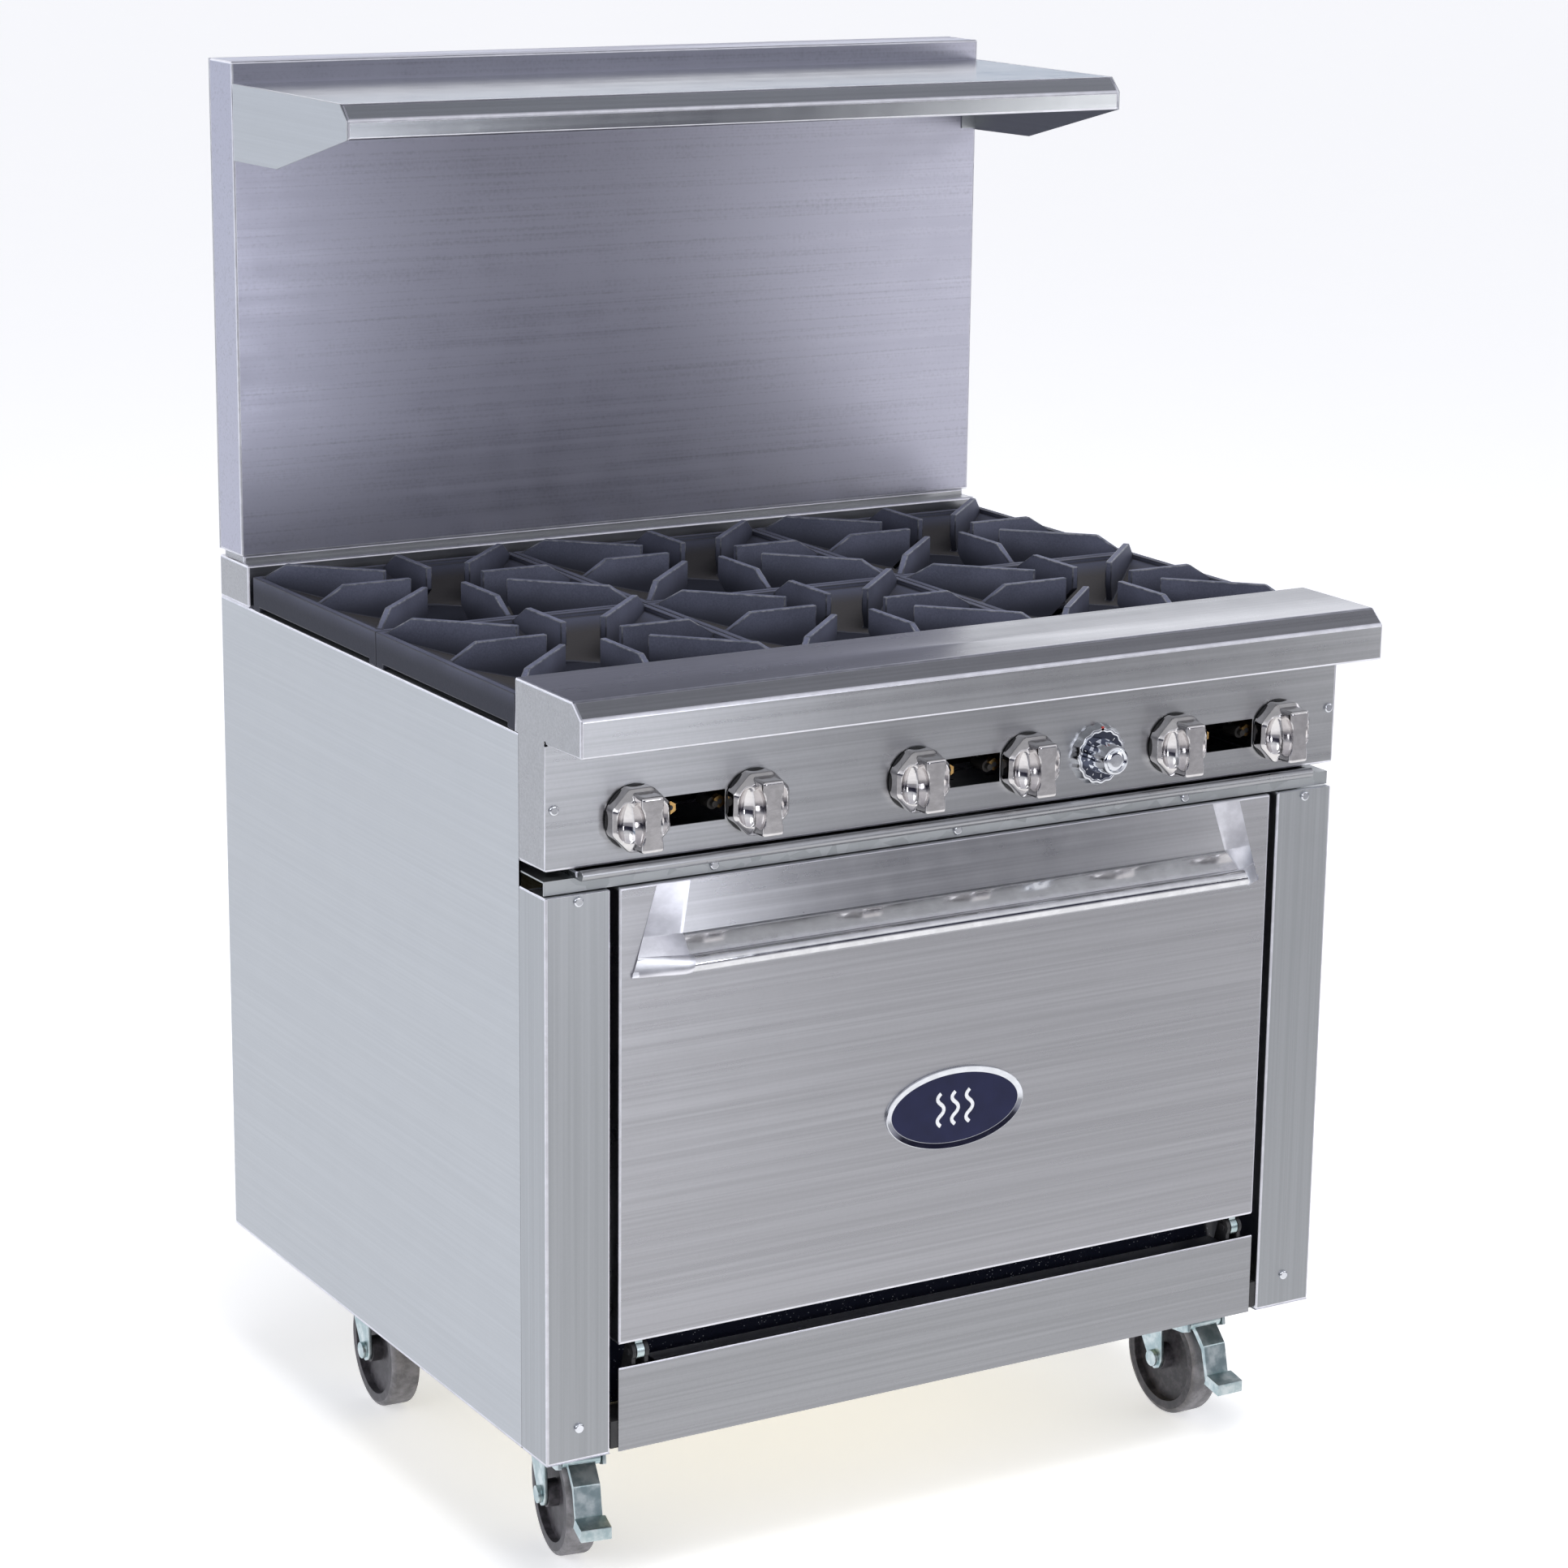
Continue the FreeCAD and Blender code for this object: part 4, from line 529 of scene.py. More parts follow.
def painted(piece, *names):
    piece.data.materials.clear()
    for name in names:
        piece.data.materials.append(MATERIALS[name])
    return piece


def copied(piece, name, shift):
    """A copy with its own mesh, moved by shift."""
    only(piece)
    bpy.ops.object.duplicate()
    twin = bpy.context.object
    twin.location = twin.location + Vector(shift)
    return grounded(twin, name)


def stands_for(piece, *nodes):
    """The piece rides where its CAD nodes do and hides them."""
    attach(piece, BODY_OF[nodes[0]])
    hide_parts(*nodes)
    return piece


def cylinder(radius, depth, place, sides=48):
    """A round bar that points to the front."""
    bpy.ops.mesh.primitive_cylinder_add(vertices=sides, radius=radius, depth=depth, location=place,
                                        rotation=FACING_FRONT)
    return bpy.context.object


def block(low, high):
    centre = (Vector(low) + Vector(high)) / 2
    bpy.ops.mesh.primitive_cube_add(size=1.0, location=centre)
    cube = bpy.context.object
    cube.scale = Vector(high) - Vector(low)
    return cube


def ball(radii, place):
    bpy.ops.mesh.primitive_uv_sphere_add(segments=40, ring_count=20, radius=1.0, location=place)
    sphere = bpy.context.object
    sphere.scale = radii
    return sphere


def combine(piece, others, operation):
    """Boolean of a piece with several tools, which are then removed."""
    for other in others:
        only(other)
        bpy.ops.object.transform_apply(location=True, rotation=True, scale=True)
        modifier(piece, "BOOLEAN", operation=operation, object=other, solver="EXACT")
        bpy.data.objects.remove(other)
    return piece


# ---- folded sheet -------------------------------------------------------------------------------
SHEET_DEPTH = 2.6 * MM
SHORTEST_FOLD = 6 * MM
WELD = 0.01 * MM
EASED_ANGLE = math.radians(30)


def editable_copy(node, name):
    """A copy of a CAD node with its loose triangles merged into whole flat faces."""
    source = frame["nodes"][node]
    piece = bpy.data.objects.new(name, source.data.copy())
    bpy.context.scene.collection.objects.link(piece)
    edit(piece)
    bpy.ops.mesh.customdata_custom_splitnormals_clear()
    bpy.ops.mesh.select_all(action="SELECT")
    bpy.ops.mesh.remove_doubles(threshold=WELD)
    bpy.ops.mesh.dissolve_limited(angle_limit=math.radians(0.8))
    leave()
    return piece


def depth_beside(edge, face):
    """How far a face reaches from one of its edges."""
    start = edge.verts[0].co
    along = (edge.verts[1].co - start).normalized()
    away = [v.co - start for v in face.verts]
    return max((a - along * a.dot(along)).length for a in away)


def is_corner(edge, degrees=40.0):
    """True where two faces meet at more than this angle."""
    return edge.is_manifold and edge.calc_face_angle(0.0) > math.radians(degrees)


def is_fold(edge):
    """True for a corner between two faces that are both deeper than the sheet is thick."""
    return is_corner(edge) and min(depth_beside(edge, f) for f in edge.link_faces) > SHEET_DEPTH


def held_inside(piece, node):
    """Brings back vertices that a bevel has pushed past the part's own box."""
    low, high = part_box(node)
    edit(piece, "VERT")
    data = piece.data
    mesh = bmesh.from_edit_mesh(data)
    for v in mesh.verts:
        for i in range(3):
            v.co[i] = min(max(v.co[i], low[i]), high[i])
    bmesh.update_edit_mesh(data)
    leave()


def rounded_sheet(node, finish):
    """A folded sheet part with real bend radii outside and inside, and broken cut edges; the outer bends get a
    lighter finish as a painted highlight.
    """
    piece = painted(editable_copy(node, "shaped_" + node), finish, "fold")
    edit(piece)
    rounds = ((True, sizes().fold_outer, 4), (False, sizes().fold_inner, 2))
    for convex, radius, steps in rounds:
        pick("edges", lambda e: is_fold(e) and e.is_convex == convex and e.calc_length() > SHORTEST_FOLD)
        # Outer bends take the lighter bend finish, a painted highlight, except on porcelain.
        shine = 1 if convex and finish != "porcelain" else -1
        bpy.ops.mesh.bevel(offset=radius, segments=steps, affect="EDGES", clamp_overlap=False, material=shine)
    pick("edges", lambda e: is_corner(e, 60.0) and e.is_convex)
    bpy.ops.mesh.bevel(offset=sizes().sheet_edge, segments=1, affect="EDGES", clamp_overlap=False)
    leave()
    held_inside(piece, node)
    smooth(piece)
    return stands_for(piece, node)


def eased(node, width, finish, edge_finish=None, name=None):
    """A part with all its corners eased; the eased faces may have a finish of their own."""
    piece = editable_copy(node, name or "shaped_" + node)
    painted(piece, finish, *([edge_finish] if edge_finish else []))
    modifier(piece, "BEVEL", width=width, segments=2, limit_method="ANGLE", angle_limit=EASED_ANGLE,
             use_clamp_overlap=False, material=1 if edge_finish else -1)
    smooth(piece)
    return stands_for(piece, node)


def dressed(node, finish):
    """A CAD node that keeps its shape and gets a finish."""
    for slot in frame["nodes"][node].material_slots:
        slot.material = MATERIALS[finish]


class RANGE_OT_panels(bpy.types.Operator):
    """Folded sheet panels with rounded bends, and the plain panels behind them"""
    bl_idname = "range.panels"
    bl_label = "Sheet panels"

    def execute(self, context):
        for side in ("left", "right"):
            rounded_sheet(side + "_side_panel", "side")
            rounded_sheet(side + "_front_post", "post")
        for node, finish in (("kick_panel", "panel"), ("control_panel", "panel"), ("riser_base", "panel"),
                             ("backguard_front", "guard"), ("high_shelf", "top"), ("shelf_brackets", "side"),
                             ("door_skin", "door"), ("crumb_tray", "panel")):
            rounded_sheet(node, finish)
        for node, finish in (("back_panel", "galvanised"), ("backguard_back", "galvanised"),
                             ("oven_top_frame", "galvanised"), ("base_frame", "frame_steel"),
                             ("grate_frame", "frame_steel")):
            dressed(node, finish)
        return {"FINISHED"}


# ---- grates and burners -------------------------------------------------------------------------
class RANGE_OT_grates(bpy.types.Operator):
    """Cast top grates with eased, pan-worn edges, painted highlight along their tops and painted shade lower down
    """
    bl_idname = "range.grates"
    bl_label = "Top grates"

    def execute(self, context):
        for node in GRATES:
            name = node.replace("_grate", "_top_grate")
            eased(node, sizes().cast_edge, "cast_iron", "worn_edge", name)
        return {"FINISHED"}


NUT_RADIUS = 6.5 * MM
NUT_DEPTH = 8 * MM
NUT_BORE = 2.6 * MM
NUT_SETBACK = 12.3 * MM


class RANGE_OT_burners(bpy.types.Operator):
    """Burner castings, gas pipe, valves and pilots"""
    bl_idname = "range.burners"
    bl_label = "Burners and valves"

    def execute(self, context):
        for node in ("burner_heads", "burner_bases"):
            eased(node, 0.8 * MM, "burner")
        dressed("manifold_pipe", "black_pipe")
        dressed("pilot_valves", "black_pipe")
        dressed("oven_burner", "cast_iron")
        valves = painted(editable_copy("gas_valves", "shaped_gas_valves"), "brass", "dark")
        smooth(valves)
        fittings = [valves]
        for left, right in zip(KNOBS[::2], KNOBS[1::2]):
            one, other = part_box(left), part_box(right)
            for x in (one[1].x + 9 * MM, other[0].x + 1 * MM):
                place = Vector((x, FRONT_Y + NUT_SETBACK, (one[0].z + one[1].z) / 2 + 1 * MM))
                ring = cylinder(NUT_RADIUS, NUT_DEPTH, place, sides=6)
                fittings.append(painted(grounded(ring, "nut"), "brass"))
                # A dark solid cylinder in each nut stands for the dark bore: painted shade.
                hole = cylinder(NUT_BORE, NUT_DEPTH + 0.4 * MM, place, sides=24)
                fittings.append(painted(grounded(hole, "hole"), "dark"))
        stands_for(joined("shaped_gas_valves", fittings), "gas_valves")
        return {"FINISHED"}


# ---- knobs and dial -----------------------------------------------------------------------------
NEAR = 1 * MM  # a point this close to a face counts as on it
KNOB_GAP = 1.0 * MM
SKIRT_THICK = 20 * MM
BAR_HALF_WIDTH = 11.5 * MM
BAR_HALF_HEIGHT = 27 * MM
BAR_WAIST = 7.0 * MM
STEM_RADIUS = 6 * MM
KNOB_MARKS = ((10 * MM, 2.5 * MM), (-1 * MM, 1.3 * MM), (-11 * MM, 2.2 * MM))
DISC_THICK = 7 * MM
HUB_RADII = (17.5 * MM, 14.5 * MM)
FLUTE_RADIUS = 4.2 * MM
FLUTE_CIRCLE = 19.5 * MM
TICK_CIRCLE = 20.8 * MM
HUB_FLUTES = 10
DIAL_STEPS = 10


def control_place(node):
    """Centre of a knob or dial on its panel, with its radius and how far it stands out."""
    low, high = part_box(node)
    centre = Vector(((low.x + high.x) / 2, FRONT_Y, (low.z + high.z) / 2))
    return centre, (high.x - low.x) / 2, FRONT_Y - low.y


def spoke(angle):
    """Unit vector in the panel's plane, at an angle up from the right."""
    return Vector((math.cos(angle), 0, math.sin(angle)))


def cast_together(piece, grain):
    """Melts fused solids into one casting with soft fillets."""
    modifier(piece, "REMESH", mode="VOXEL", voxel_size=grain, use_smooth_shade=True)
    modifier(piece, "SMOOTH", factor=0.5, iterations=3)


class RANGE_OT_knobs(bpy.types.Operator):
    """Polished burner knobs: eight-sided skirt and a grip bar between two finger scoops"""
    bl_idname = "range.knobs"
    bl_label = "Burner knobs"

    def execute(self, context):
        place, radius, reach = control_place(KNOBS[0])
        bpy.ops.mesh.primitive_cylinder_add(vertices=8, radius=radius - 0.8 * MM, depth=SKIRT_THICK,
                                            rotation=(math.pi / 2, TAU / 16, 0),
                                            location=place - Vector((0, KNOB_GAP + SKIRT_THICK / 2, 0)))
        skirt = grounded(bpy.context.object, "skirt")
        front = place.y - KNOB_GAP - SKIRT_THICK
        edit(skirt)
        rounded(lambda e: abs(e.verts[0].co.y - e.verts[1].co.y) > SKIRT_THICK / 2, 3.0 * MM, 3)
        rounded(lambda e: all(v.co.y < front + NEAR for v in e.verts), 7.0 * MM, 1)
        leave()
        bar = grounded(block((place.x - BAR_HALF_WIDTH, place.y - reach, place.z - BAR_HALF_HEIGHT),
                             (place.x + BAR_HALF_WIDTH, place.y - 8 * MM, place.z + BAR_HALF_HEIGHT)), "bar")
        edit(bar)
        rounded(lambda e: is_corner(e) and min(v.co.y for v in e.verts) < place.y - reach + NEAR, 2.6 * MM, 3)
        leave()
        combine(skirt, [bar], "UNION")
        scoop = sizes().knob_scoop
        tools = []
        for side in (-1, 1):
            centre = place + Vector((side * (BAR_WAIST + scoop), -30 * MM, -1.0 * MM))
            tools.append(ball((scoop, 18.0 * MM, 25.0 * MM), centre))
        combine(skirt, tools, "DIFFERENCE")
        cast_together(skirt, 0.75 * MM)
        smooth(skirt, 40.0, weighted=False)
        painted(skirt, "knob")
        marks = []
        for rise, size in KNOB_MARKS:
            where = place + Vector((0, -reach + 0.6 * MM, rise))
            bpy.ops.mesh.primitive_torus_add(major_radius=size, minor_radius=0.55 * MM, major_segments=28,
                                             minor_segments=8, location=where, rotation=FACING_FRONT)
            marks.append(painted(grounded(bpy.context.object, "mark"), "dark"))
        # A dark ring behind the skirt, in the gap at the panel: painted shadow.
        ring = cylinder(radius - 2.0 * MM, 2.2 * MM, place - Vector((0, KNOB_GAP + 1.1 * MM, 0)), sides=96)
        marks.append(painted(grounded(ring, "back_ring"), "dark"))
        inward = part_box(KNOBS[0])[1].y - FRONT_Y
        stem = cylinder(STEM_RADIUS, inward + KNOB_GAP, place + Vector((0, (inward - KNOB_GAP) / 2, 0)))
        marks.append(painted(grounded(stem, "stem"), "zinc"))
        first = joined("knob_casting_1", [skirt, *marks])
        for k, node in enumerate(KNOBS):
            there = control_place(node)[0]
            knob = first if k == 0 else copied(first, "knob_casting_" + str(k + 1), there - place)
            stands_for(knob, node)
        return {"FINISHED"}


class RANGE_OT_dial(bpy.types.Operator):
    """Oven dial: fluted chrome bezel, ticked disc and scalloped hub"""
    bl_idname = "range.dial"
    bl_label = "Oven dial"

    def execute(self, context):
        self.bezel()
        self.dial()
        return {"FINISHED"}

    def bezel(self):
        place, radius, depth = control_place("thermostat_bezel")
        place.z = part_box("thermostat_dial")[0].z / 2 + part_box("thermostat_dial")[1].z / 2
        count = sizes().dial_flutes
        bpy.ops.mesh.primitive_cylinder_add(vertices=count * 6, radius=radius, depth=depth,
                                            end_fill_type="NOTHING", rotation=FACING_FRONT,
                                            location=place - Vector((0, depth / 2, 0)))
        bezel = grounded(bpy.context.object, "dial_bezel")
        edit(bezel, "VERT")
        data = bmesh.from_edit_mesh(bezel.data)
        for v in data.verts:
            around = math.atan2(v.co.z - place.z, v.co.x - place.x)
            front = v.co.y < place.y - depth / 2
            share = (0.90 if front else 1.0) * (1 - 0.05 * (0.5 - 0.5 * math.cos(around * count)))
            v.co.x = place.x + (v.co.x - place.x) * share
            v.co.z = place.z + (v.co.z - place.z) * share
        bmesh.update_edit_mesh(bezel.data)
        rim = place.y - depth + 0.5 * MM
        pick("edges", lambda e: all(v.co.y < rim for v in e.verts))
        centre = (place.x, place.y - depth, place.z)
        for _ in range(2):
            bpy.ops.mesh.extrude_region_move()
            bpy.ops.transform.resize(value=(0.93, 1, 0.93), center_override=centre)
        bpy.ops.mesh.extrude_region_move(TRANSFORM_OT_translate={"value": (0, depth - 1 * MM, 0)})
        leave()
        outward(bezel)
        modifier(bezel, "BEVEL", width=0.7 * MM, segments=2, limit_method="ANGLE",
                 angle_limit=math.radians(35))
        smooth(bezel)
        painted(bezel, "chrome")
        mark = block((place.x - 1.4 * MM, place.y - depth, place.z + radius * 0.80),
                     (place.x + 1.4 * MM, place.y - depth + 1.0 * MM, place.z + radius * 0.93))
        painted(grounded(mark, "mark"), "red")
        bezel.data.materials.append(MATERIALS["red"])
        stands_for(joined("dial_bezel", [bezel, mark]), "thermostat_bezel")

    def dial(self):
        place, radius, reach = control_place("thermostat_dial")
        disc = cylinder(radius, DISC_THICK, place - Vector((0, 4.5 * MM, 0)), sides=96)
        edit(disc)
        rounded(lambda e: is_corner(e, 69.0), 1.5 * MM, 3)
        leave()
        hub_length = reach - DISC_THICK
        wide, narrow = HUB_RADII
        bpy.ops.mesh.primitive_cone_add(vertices=60, radius1=wide, radius2=narrow, depth=hub_length,
                                        location=place - Vector((0, DISC_THICK + hub_length / 2, 0)),
                                        rotation=FACING_FRONT)
        hub = grounded(bpy.context.object, "hub")
        edit(hub)
        rounded(lambda e: is_corner(e) and e.verts[0].co.y < place.y - reach + NEAR, 2.5 * MM, 3)
        pick("faces", lambda f: f.normal.y < -0.9 and f.calc_area() > 1e-4)
        bpy.ops.mesh.inset(thickness=2.0 * MM)
        bpy.ops.transform.translate(value=(0, 2.0 * MM, 0))
        bpy.ops.mesh.inset(thickness=4.0 * MM)
        bpy.ops.transform.translate(value=(0, -1.5 * MM, 0))
        leave()
        flutes = []
        for k in range(HUB_FLUTES):
            out = spoke(TAU * k / HUB_FLUTES) * FLUTE_CIRCLE
            centre = place + out - Vector((0, hub_length + 9 * MM, 0))
            flutes.append(cylinder(FLUTE_RADIUS, 2 * hub_length, centre, sides=32))
        combine(hub, flutes, "DIFFERENCE")
        smooth(hub)
        smooth(disc)
        ticks = []
        for k in range(DIAL_STEPS + 1):
            angle = TAU * (0.12 + 0.76 * k / DIAL_STEPS) + math.pi / 2
            size = 3.4 * MM if k % 5 == 0 else 2.0 * MM
            tick = block((-0.35 * MM, -0.15 * MM, -size / 2), (0.35 * MM, 0.15 * MM, size / 2))
            tick.location = place + spoke(angle) * TICK_CIRCLE - Vector((0, 8.05 * MM, 0))
            tick.rotation_euler = (0, -(angle - math.pi / 2), 0)
            ticks.append(painted(grounded(tick, "tick"), "white"))
        painted(disc, "smoked", "white")
        painted(hub, "chrome")
        stands_for(joined("oven_dial", [disc, hub, *ticks]), "thermostat_dial")


# ---- door ---------------------------------------------------------------------------------------
BADGE_RIM = 5.5 * MM
WAVE_STEP = 17 * MM
HANDLE_TOP_IN = 304 * MM
HANDLE_CREASE = 49 * MM
HANDLE_LEAN = 12.0 / 49
HANDLE_SHEET = 1.6 * MM
PAD_FORWARD = (2.0 * MM, 9.4 * MM)
PAD_TOP = 0.5 * MM
RAMP_FORWARD = 19.5 * MM
RAMP_DOWN = 15.5 * MM
RAMP_CURVE = 1.12
BEAD_RADIUS = 9.0 * MM
BEAD_CENTRE = (35.0 * MM, 72.0 * MM)
# From the outer end of the handle inwards: how far it stands out, half its width at the top edge,
# how much wider it gets for each unit down, and how far its lower edge drops.
HANDLE_END = ((0.04, 339 * MM, 24.5 / 81, 9 * MM), (0.55, 322 * MM, 18.0 / 65, 4 * MM),
              (0.93, 308 * MM, 13.0 / 52, 1 * MM), (1.0, HANDLE_TOP_IN, HANDLE_LEAN, 0.0))


def handle_profile(steps):
    """Outer line of the handle from the door's top edge down to the bead: (forward, down) pairs."""
    first, pad = PAD_FORWARD
    line = [(first + (pad - first) * k / 5, PAD_TOP + (HANDLE_CREASE - PAD_TOP) * k / 5) for k in range(6)]
    for k in range(1, steps + 1):
        t = k / steps
        line.append((pad + RAMP_FORWARD * t, HANDLE_CREASE + RAMP_DOWN * t ** RAMP_CURVE))
    for k in range(15):
        angle = math.radians(118 - 20 * k)
        line.append((BEAD_CENTRE[0] + BEAD_RADIUS * math.cos(angle),
                     BEAD_CENTRE[1] - BEAD_RADIUS * math.sin(angle)))
    return line


class RANGE_OT_handle(bpy.types.Operator):
    """Full-width scoop handle formed from sheet"""
    bl_idname = "range.handle"
    bl_label = "Door handle"

    def execute(self, context):
        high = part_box("door_handle")[1]
        profile = handle_profile(9)
        rows = len(profile)
        stations = [(-1, *e) for e in HANDLE_END] + [(1, *e) for e in reversed(HANDLE_END)]
        bpy.ops.mesh.primitive_grid_add(x_subdivisions=len(stations) - 1, y_subdivisions=rows - 1, size=1.0)
        handle = bpy.context.object
        edit(handle, "VERT")
        mesh = bmesh.from_edit_mesh(handle.data)
        for v in mesh.verts:
            column = round((v.co.x + 0.5) * (len(stations) - 1))
            row = round((0.5 - v.co.y) * (rows - 1))
            side, swell, top, slant, drop = stations[column]
            forward, down = profile[row]
            below = max(0.0, min(1.0, (down - HANDLE_CREASE) / (20 * MM)))
            fall = down + drop * below
            v.co = (side * (top + fall * slant), FRONT_Y - 0.1 * MM - forward * swell, high.z - fall)
        bmesh.update_edit_mesh(handle.data)
        leave()
        outward_sheet(handle)
        modifier(handle, "SOLIDIFY", thickness=HANDLE_SHEET, offset=-1.0, use_even_offset=True)
        held_inside(handle, "door_handle")
        smooth(handle, 28.0)
        painted(handle, "door", "ramp", "fold")
        # The handle's end bands take the lighter bend finish: a painted highlight.
        for f in handle.data.polygons:
            depth = high.z - f.center.z
            at_end = abs(f.center.x) > HANDLE_TOP_IN + depth * HANDLE_LEAN + 1 * MM
            f.material_index = 2 if at_end else 1 if depth > HANDLE_CREASE - 1 * MM else 0
        stands_for(grounded(handle, "scoop_handle"), "door_handle")
        return {"FINISHED"}


def outward_sheet(piece):
    """Turns an open sheet's faces to the front of the range."""
    edit(piece, "FACE")
    bpy.ops.mesh.select_all(action="SELECT")
    bpy.ops.mesh.normals_make_consistent(inside=False)
    mesh = bmesh.from_edit_mesh(piece.data)
    if sum(f.normal.y * f.calc_area() for f in mesh.faces) > 0:
        bpy.ops.mesh.flip_normals()
    leave()


class RANGE_OT_badge(bpy.types.Operator):
    """Oval enamel plate with a bright domed rim and a plain heat mark"""
    bl_idname = "range.badge"
    bl_label = "Badge"

    def execute(self, context):
        low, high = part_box("door_badge")
        centre = (low + high) / 2
        half_w = (high.x - low.x) / 2
        half_h = (high.z - low.z) / 2
        bpy.ops.mesh.primitive_cylinder_add(vertices=128, radius=1.0, depth=high.y - low.y, location=centre,
                                            rotation=FACING_FRONT)
        plate = bpy.context.object
        plate.scale = (half_w, half_h, 1.0)
        plate = grounded(plate, "oval_badge")
        painted(plate, "chrome", "enamel", "white")
        edit(plate, "FACE")
        pick("faces", lambda f: f.normal.y < -0.9)
        bpy.ops.mesh.inset(thickness=BADGE_RIM)
        bpy.ops.transform.translate(value=(0, 1.3 * MM, 0))
        bpy.ops.mesh.inset(thickness=0.8 * MM)
        plate.active_material_index = 1
        bpy.ops.object.material_slot_assign()
        leave()
        modifier(plate, "BEVEL", width=1.0 * MM, segments=3, limit_method="ANGLE",
                 angle_limit=math.radians(40))
        smooth(plate)
        waves = [self.wave(k, Vector((centre.x, low.y + 1.4 * MM, centre.z))) for k in (-1, 0, 1)]
        stands_for(joined("oval_badge", [plate, *waves]), "door_badge")
        return {"FINISHED"}

    def wave(self, k, place):
        """One upright S of the heat mark, k steps to the right of the middle."""
        bpy.ops.curve.primitive_bezier_curve_add(location=(0, 0, 0))
        wave = bpy.context.object
        wave.data.dimensions = "3D"
        points = wave.data.splines[0].bezier_points
        points.add(2)
        for p, z in zip(points, (-17, -6, 6, 17)):
            p.co = (k * WAVE_STEP, 0, z * MM)
            p.handle_left_type = p.handle_right_type = "FREE"
        for i, p in enumerate(points):
            lean = 5 * MM * (1 if i % 2 else -1)
            p.handle_left = p.co + Vector((-lean, 0, -4 * MM))
            p.handle_right = p.co + Vector((lean, 0, 4 * MM))
        wave.data.bevel_depth = 2.1 * MM
        wave.data.bevel_resolution = 3
        wave.data.use_fill_caps = True
        only(wave)
        bpy.ops.object.convert(target="MESH")
        wave = bpy.context.object
        wave.location = place
        wave.scale = (1, 0.35, 1)
        return painted(grounded(wave, "wave"), "white")


class RANGE_OT_oven(bpy.types.Operator):
    """Oven box, floor, rack, door lining and hinges"""
    bl_idname = "range.oven"
    bl_label = "Oven"

    def execute(self, context):
        for node in ("oven_liner", "oven_floor", "door_liner"):
            rounded_sheet(node, "porcelain")
        for node, finish in (("oven_rack", "chrome"), ("rack_guides", "chrome"),
                             ("oven_insulation", "insulation"), ("door_insulation", "insulation"),
                             ("hinge_brackets", "frame_steel"), ("hinge_arms", "zinc")):
            dressed(node, finish)
        return {"FINISHED"}


# ---- casters and screws -------------------------------------------------------------------------
TREAD_FROM = 58 * MM


class RANGE_OT_casters(bpy.types.Operator):
    """Caster forks, wheels and brake pedals"""
    bl_idname = "range.casters"
    bl_label = "Casters"

    def execute(self, context):
        eased("caster_plates", 0.6 * MM, "zinc")
        for corner in CASTERS:
            eased(corner + "_fork", 0.9 * MM, "zinc")
            wheel = eased(corner + "_wheel", 0.8 * MM, "rubber")
            wheel.data.materials.append(MATERIALS["tread"])
            joint = JOINTS[corner + "_roll"]
            axis = Vector(joint["axis"])
            hub = Vector(joint["pos_m"])
            for f in wheel.data.polygons:
                arm = f.center - hub
                around = (arm - axis * arm.dot(axis)).length
                f.material_index = 1 if around > TREAD_FROM else 0
        for corner in CASTERS[:2]:
            eased(corner + "_pedal", 0.9 * MM, "zinc")
        return {"FINISHED"}


class RANGE_OT_screws(bpy.types.Operator):
    """Pan-head screws with eased heads"""
    bl_idname = "range.screws"
    bl_label = "Screws"

    def execute(self, context):
        eased("body_screws", 0.3 * MM, "chrome")
        return {"FINISHED"}


# ---- stage --------------------------------------------------------------------------------------
CAMERA_PLACE = (-2.0971, -3.5632, 1.7538)
CAMERA_AZIMUTH = -30.504
CAMERA_ELEVATION = 14.33
CAMERA_ROLL = 0.688
CAMERA_LENS = 92.90


def camera():
    az, el, roll = (math.radians(a) for a in (CAMERA_AZIMUTH, CAMERA_ELEVATION, CAMERA_ROLL))
    back = Vector((math.sin(az) * math.cos(el), -math.cos(az) * math.cos(el), math.sin(el)))
    right = (-back).cross(Vector((0, 0, 1))).normalized()
    up = right.cross(-back)
    tilted = right * math.cos(roll) + up * math.sin(roll)
    above = up * math.cos(roll) - right * math.sin(roll)
    bpy.ops.object.camera_add(location=CAMERA_PLACE)
    view = bpy.context.object
    view.name = "range_view"
    view.rotation_euler = Matrix((tilted, above, back)).transposed().to_euler()
    view.data.lens = CAMERA_LENS
    view.data.sensor_width = 36.0
    view.data.clip_end = 200.0
    bpy.context.scene.camera = view


def softbox(name, place, aim, size, power, tint=(1.0, 1.0, 1.0)):
    bpy.ops.object.light_add(type="AREA", location=place)
    lamp = bpy.context.object
    lamp.name = name
    lamp.rotation_euler = (Vector(place) - Vector(aim)).to_track_quat("Z", "Y").to_euler()
    lamp.data.shape = "RECTANGLE"
    lamp.data.size, lamp.data.size_y = size
    lamp.data.energy = power
    lamp.data.color = tint
    lamp.visible_camera = False
    return lamp


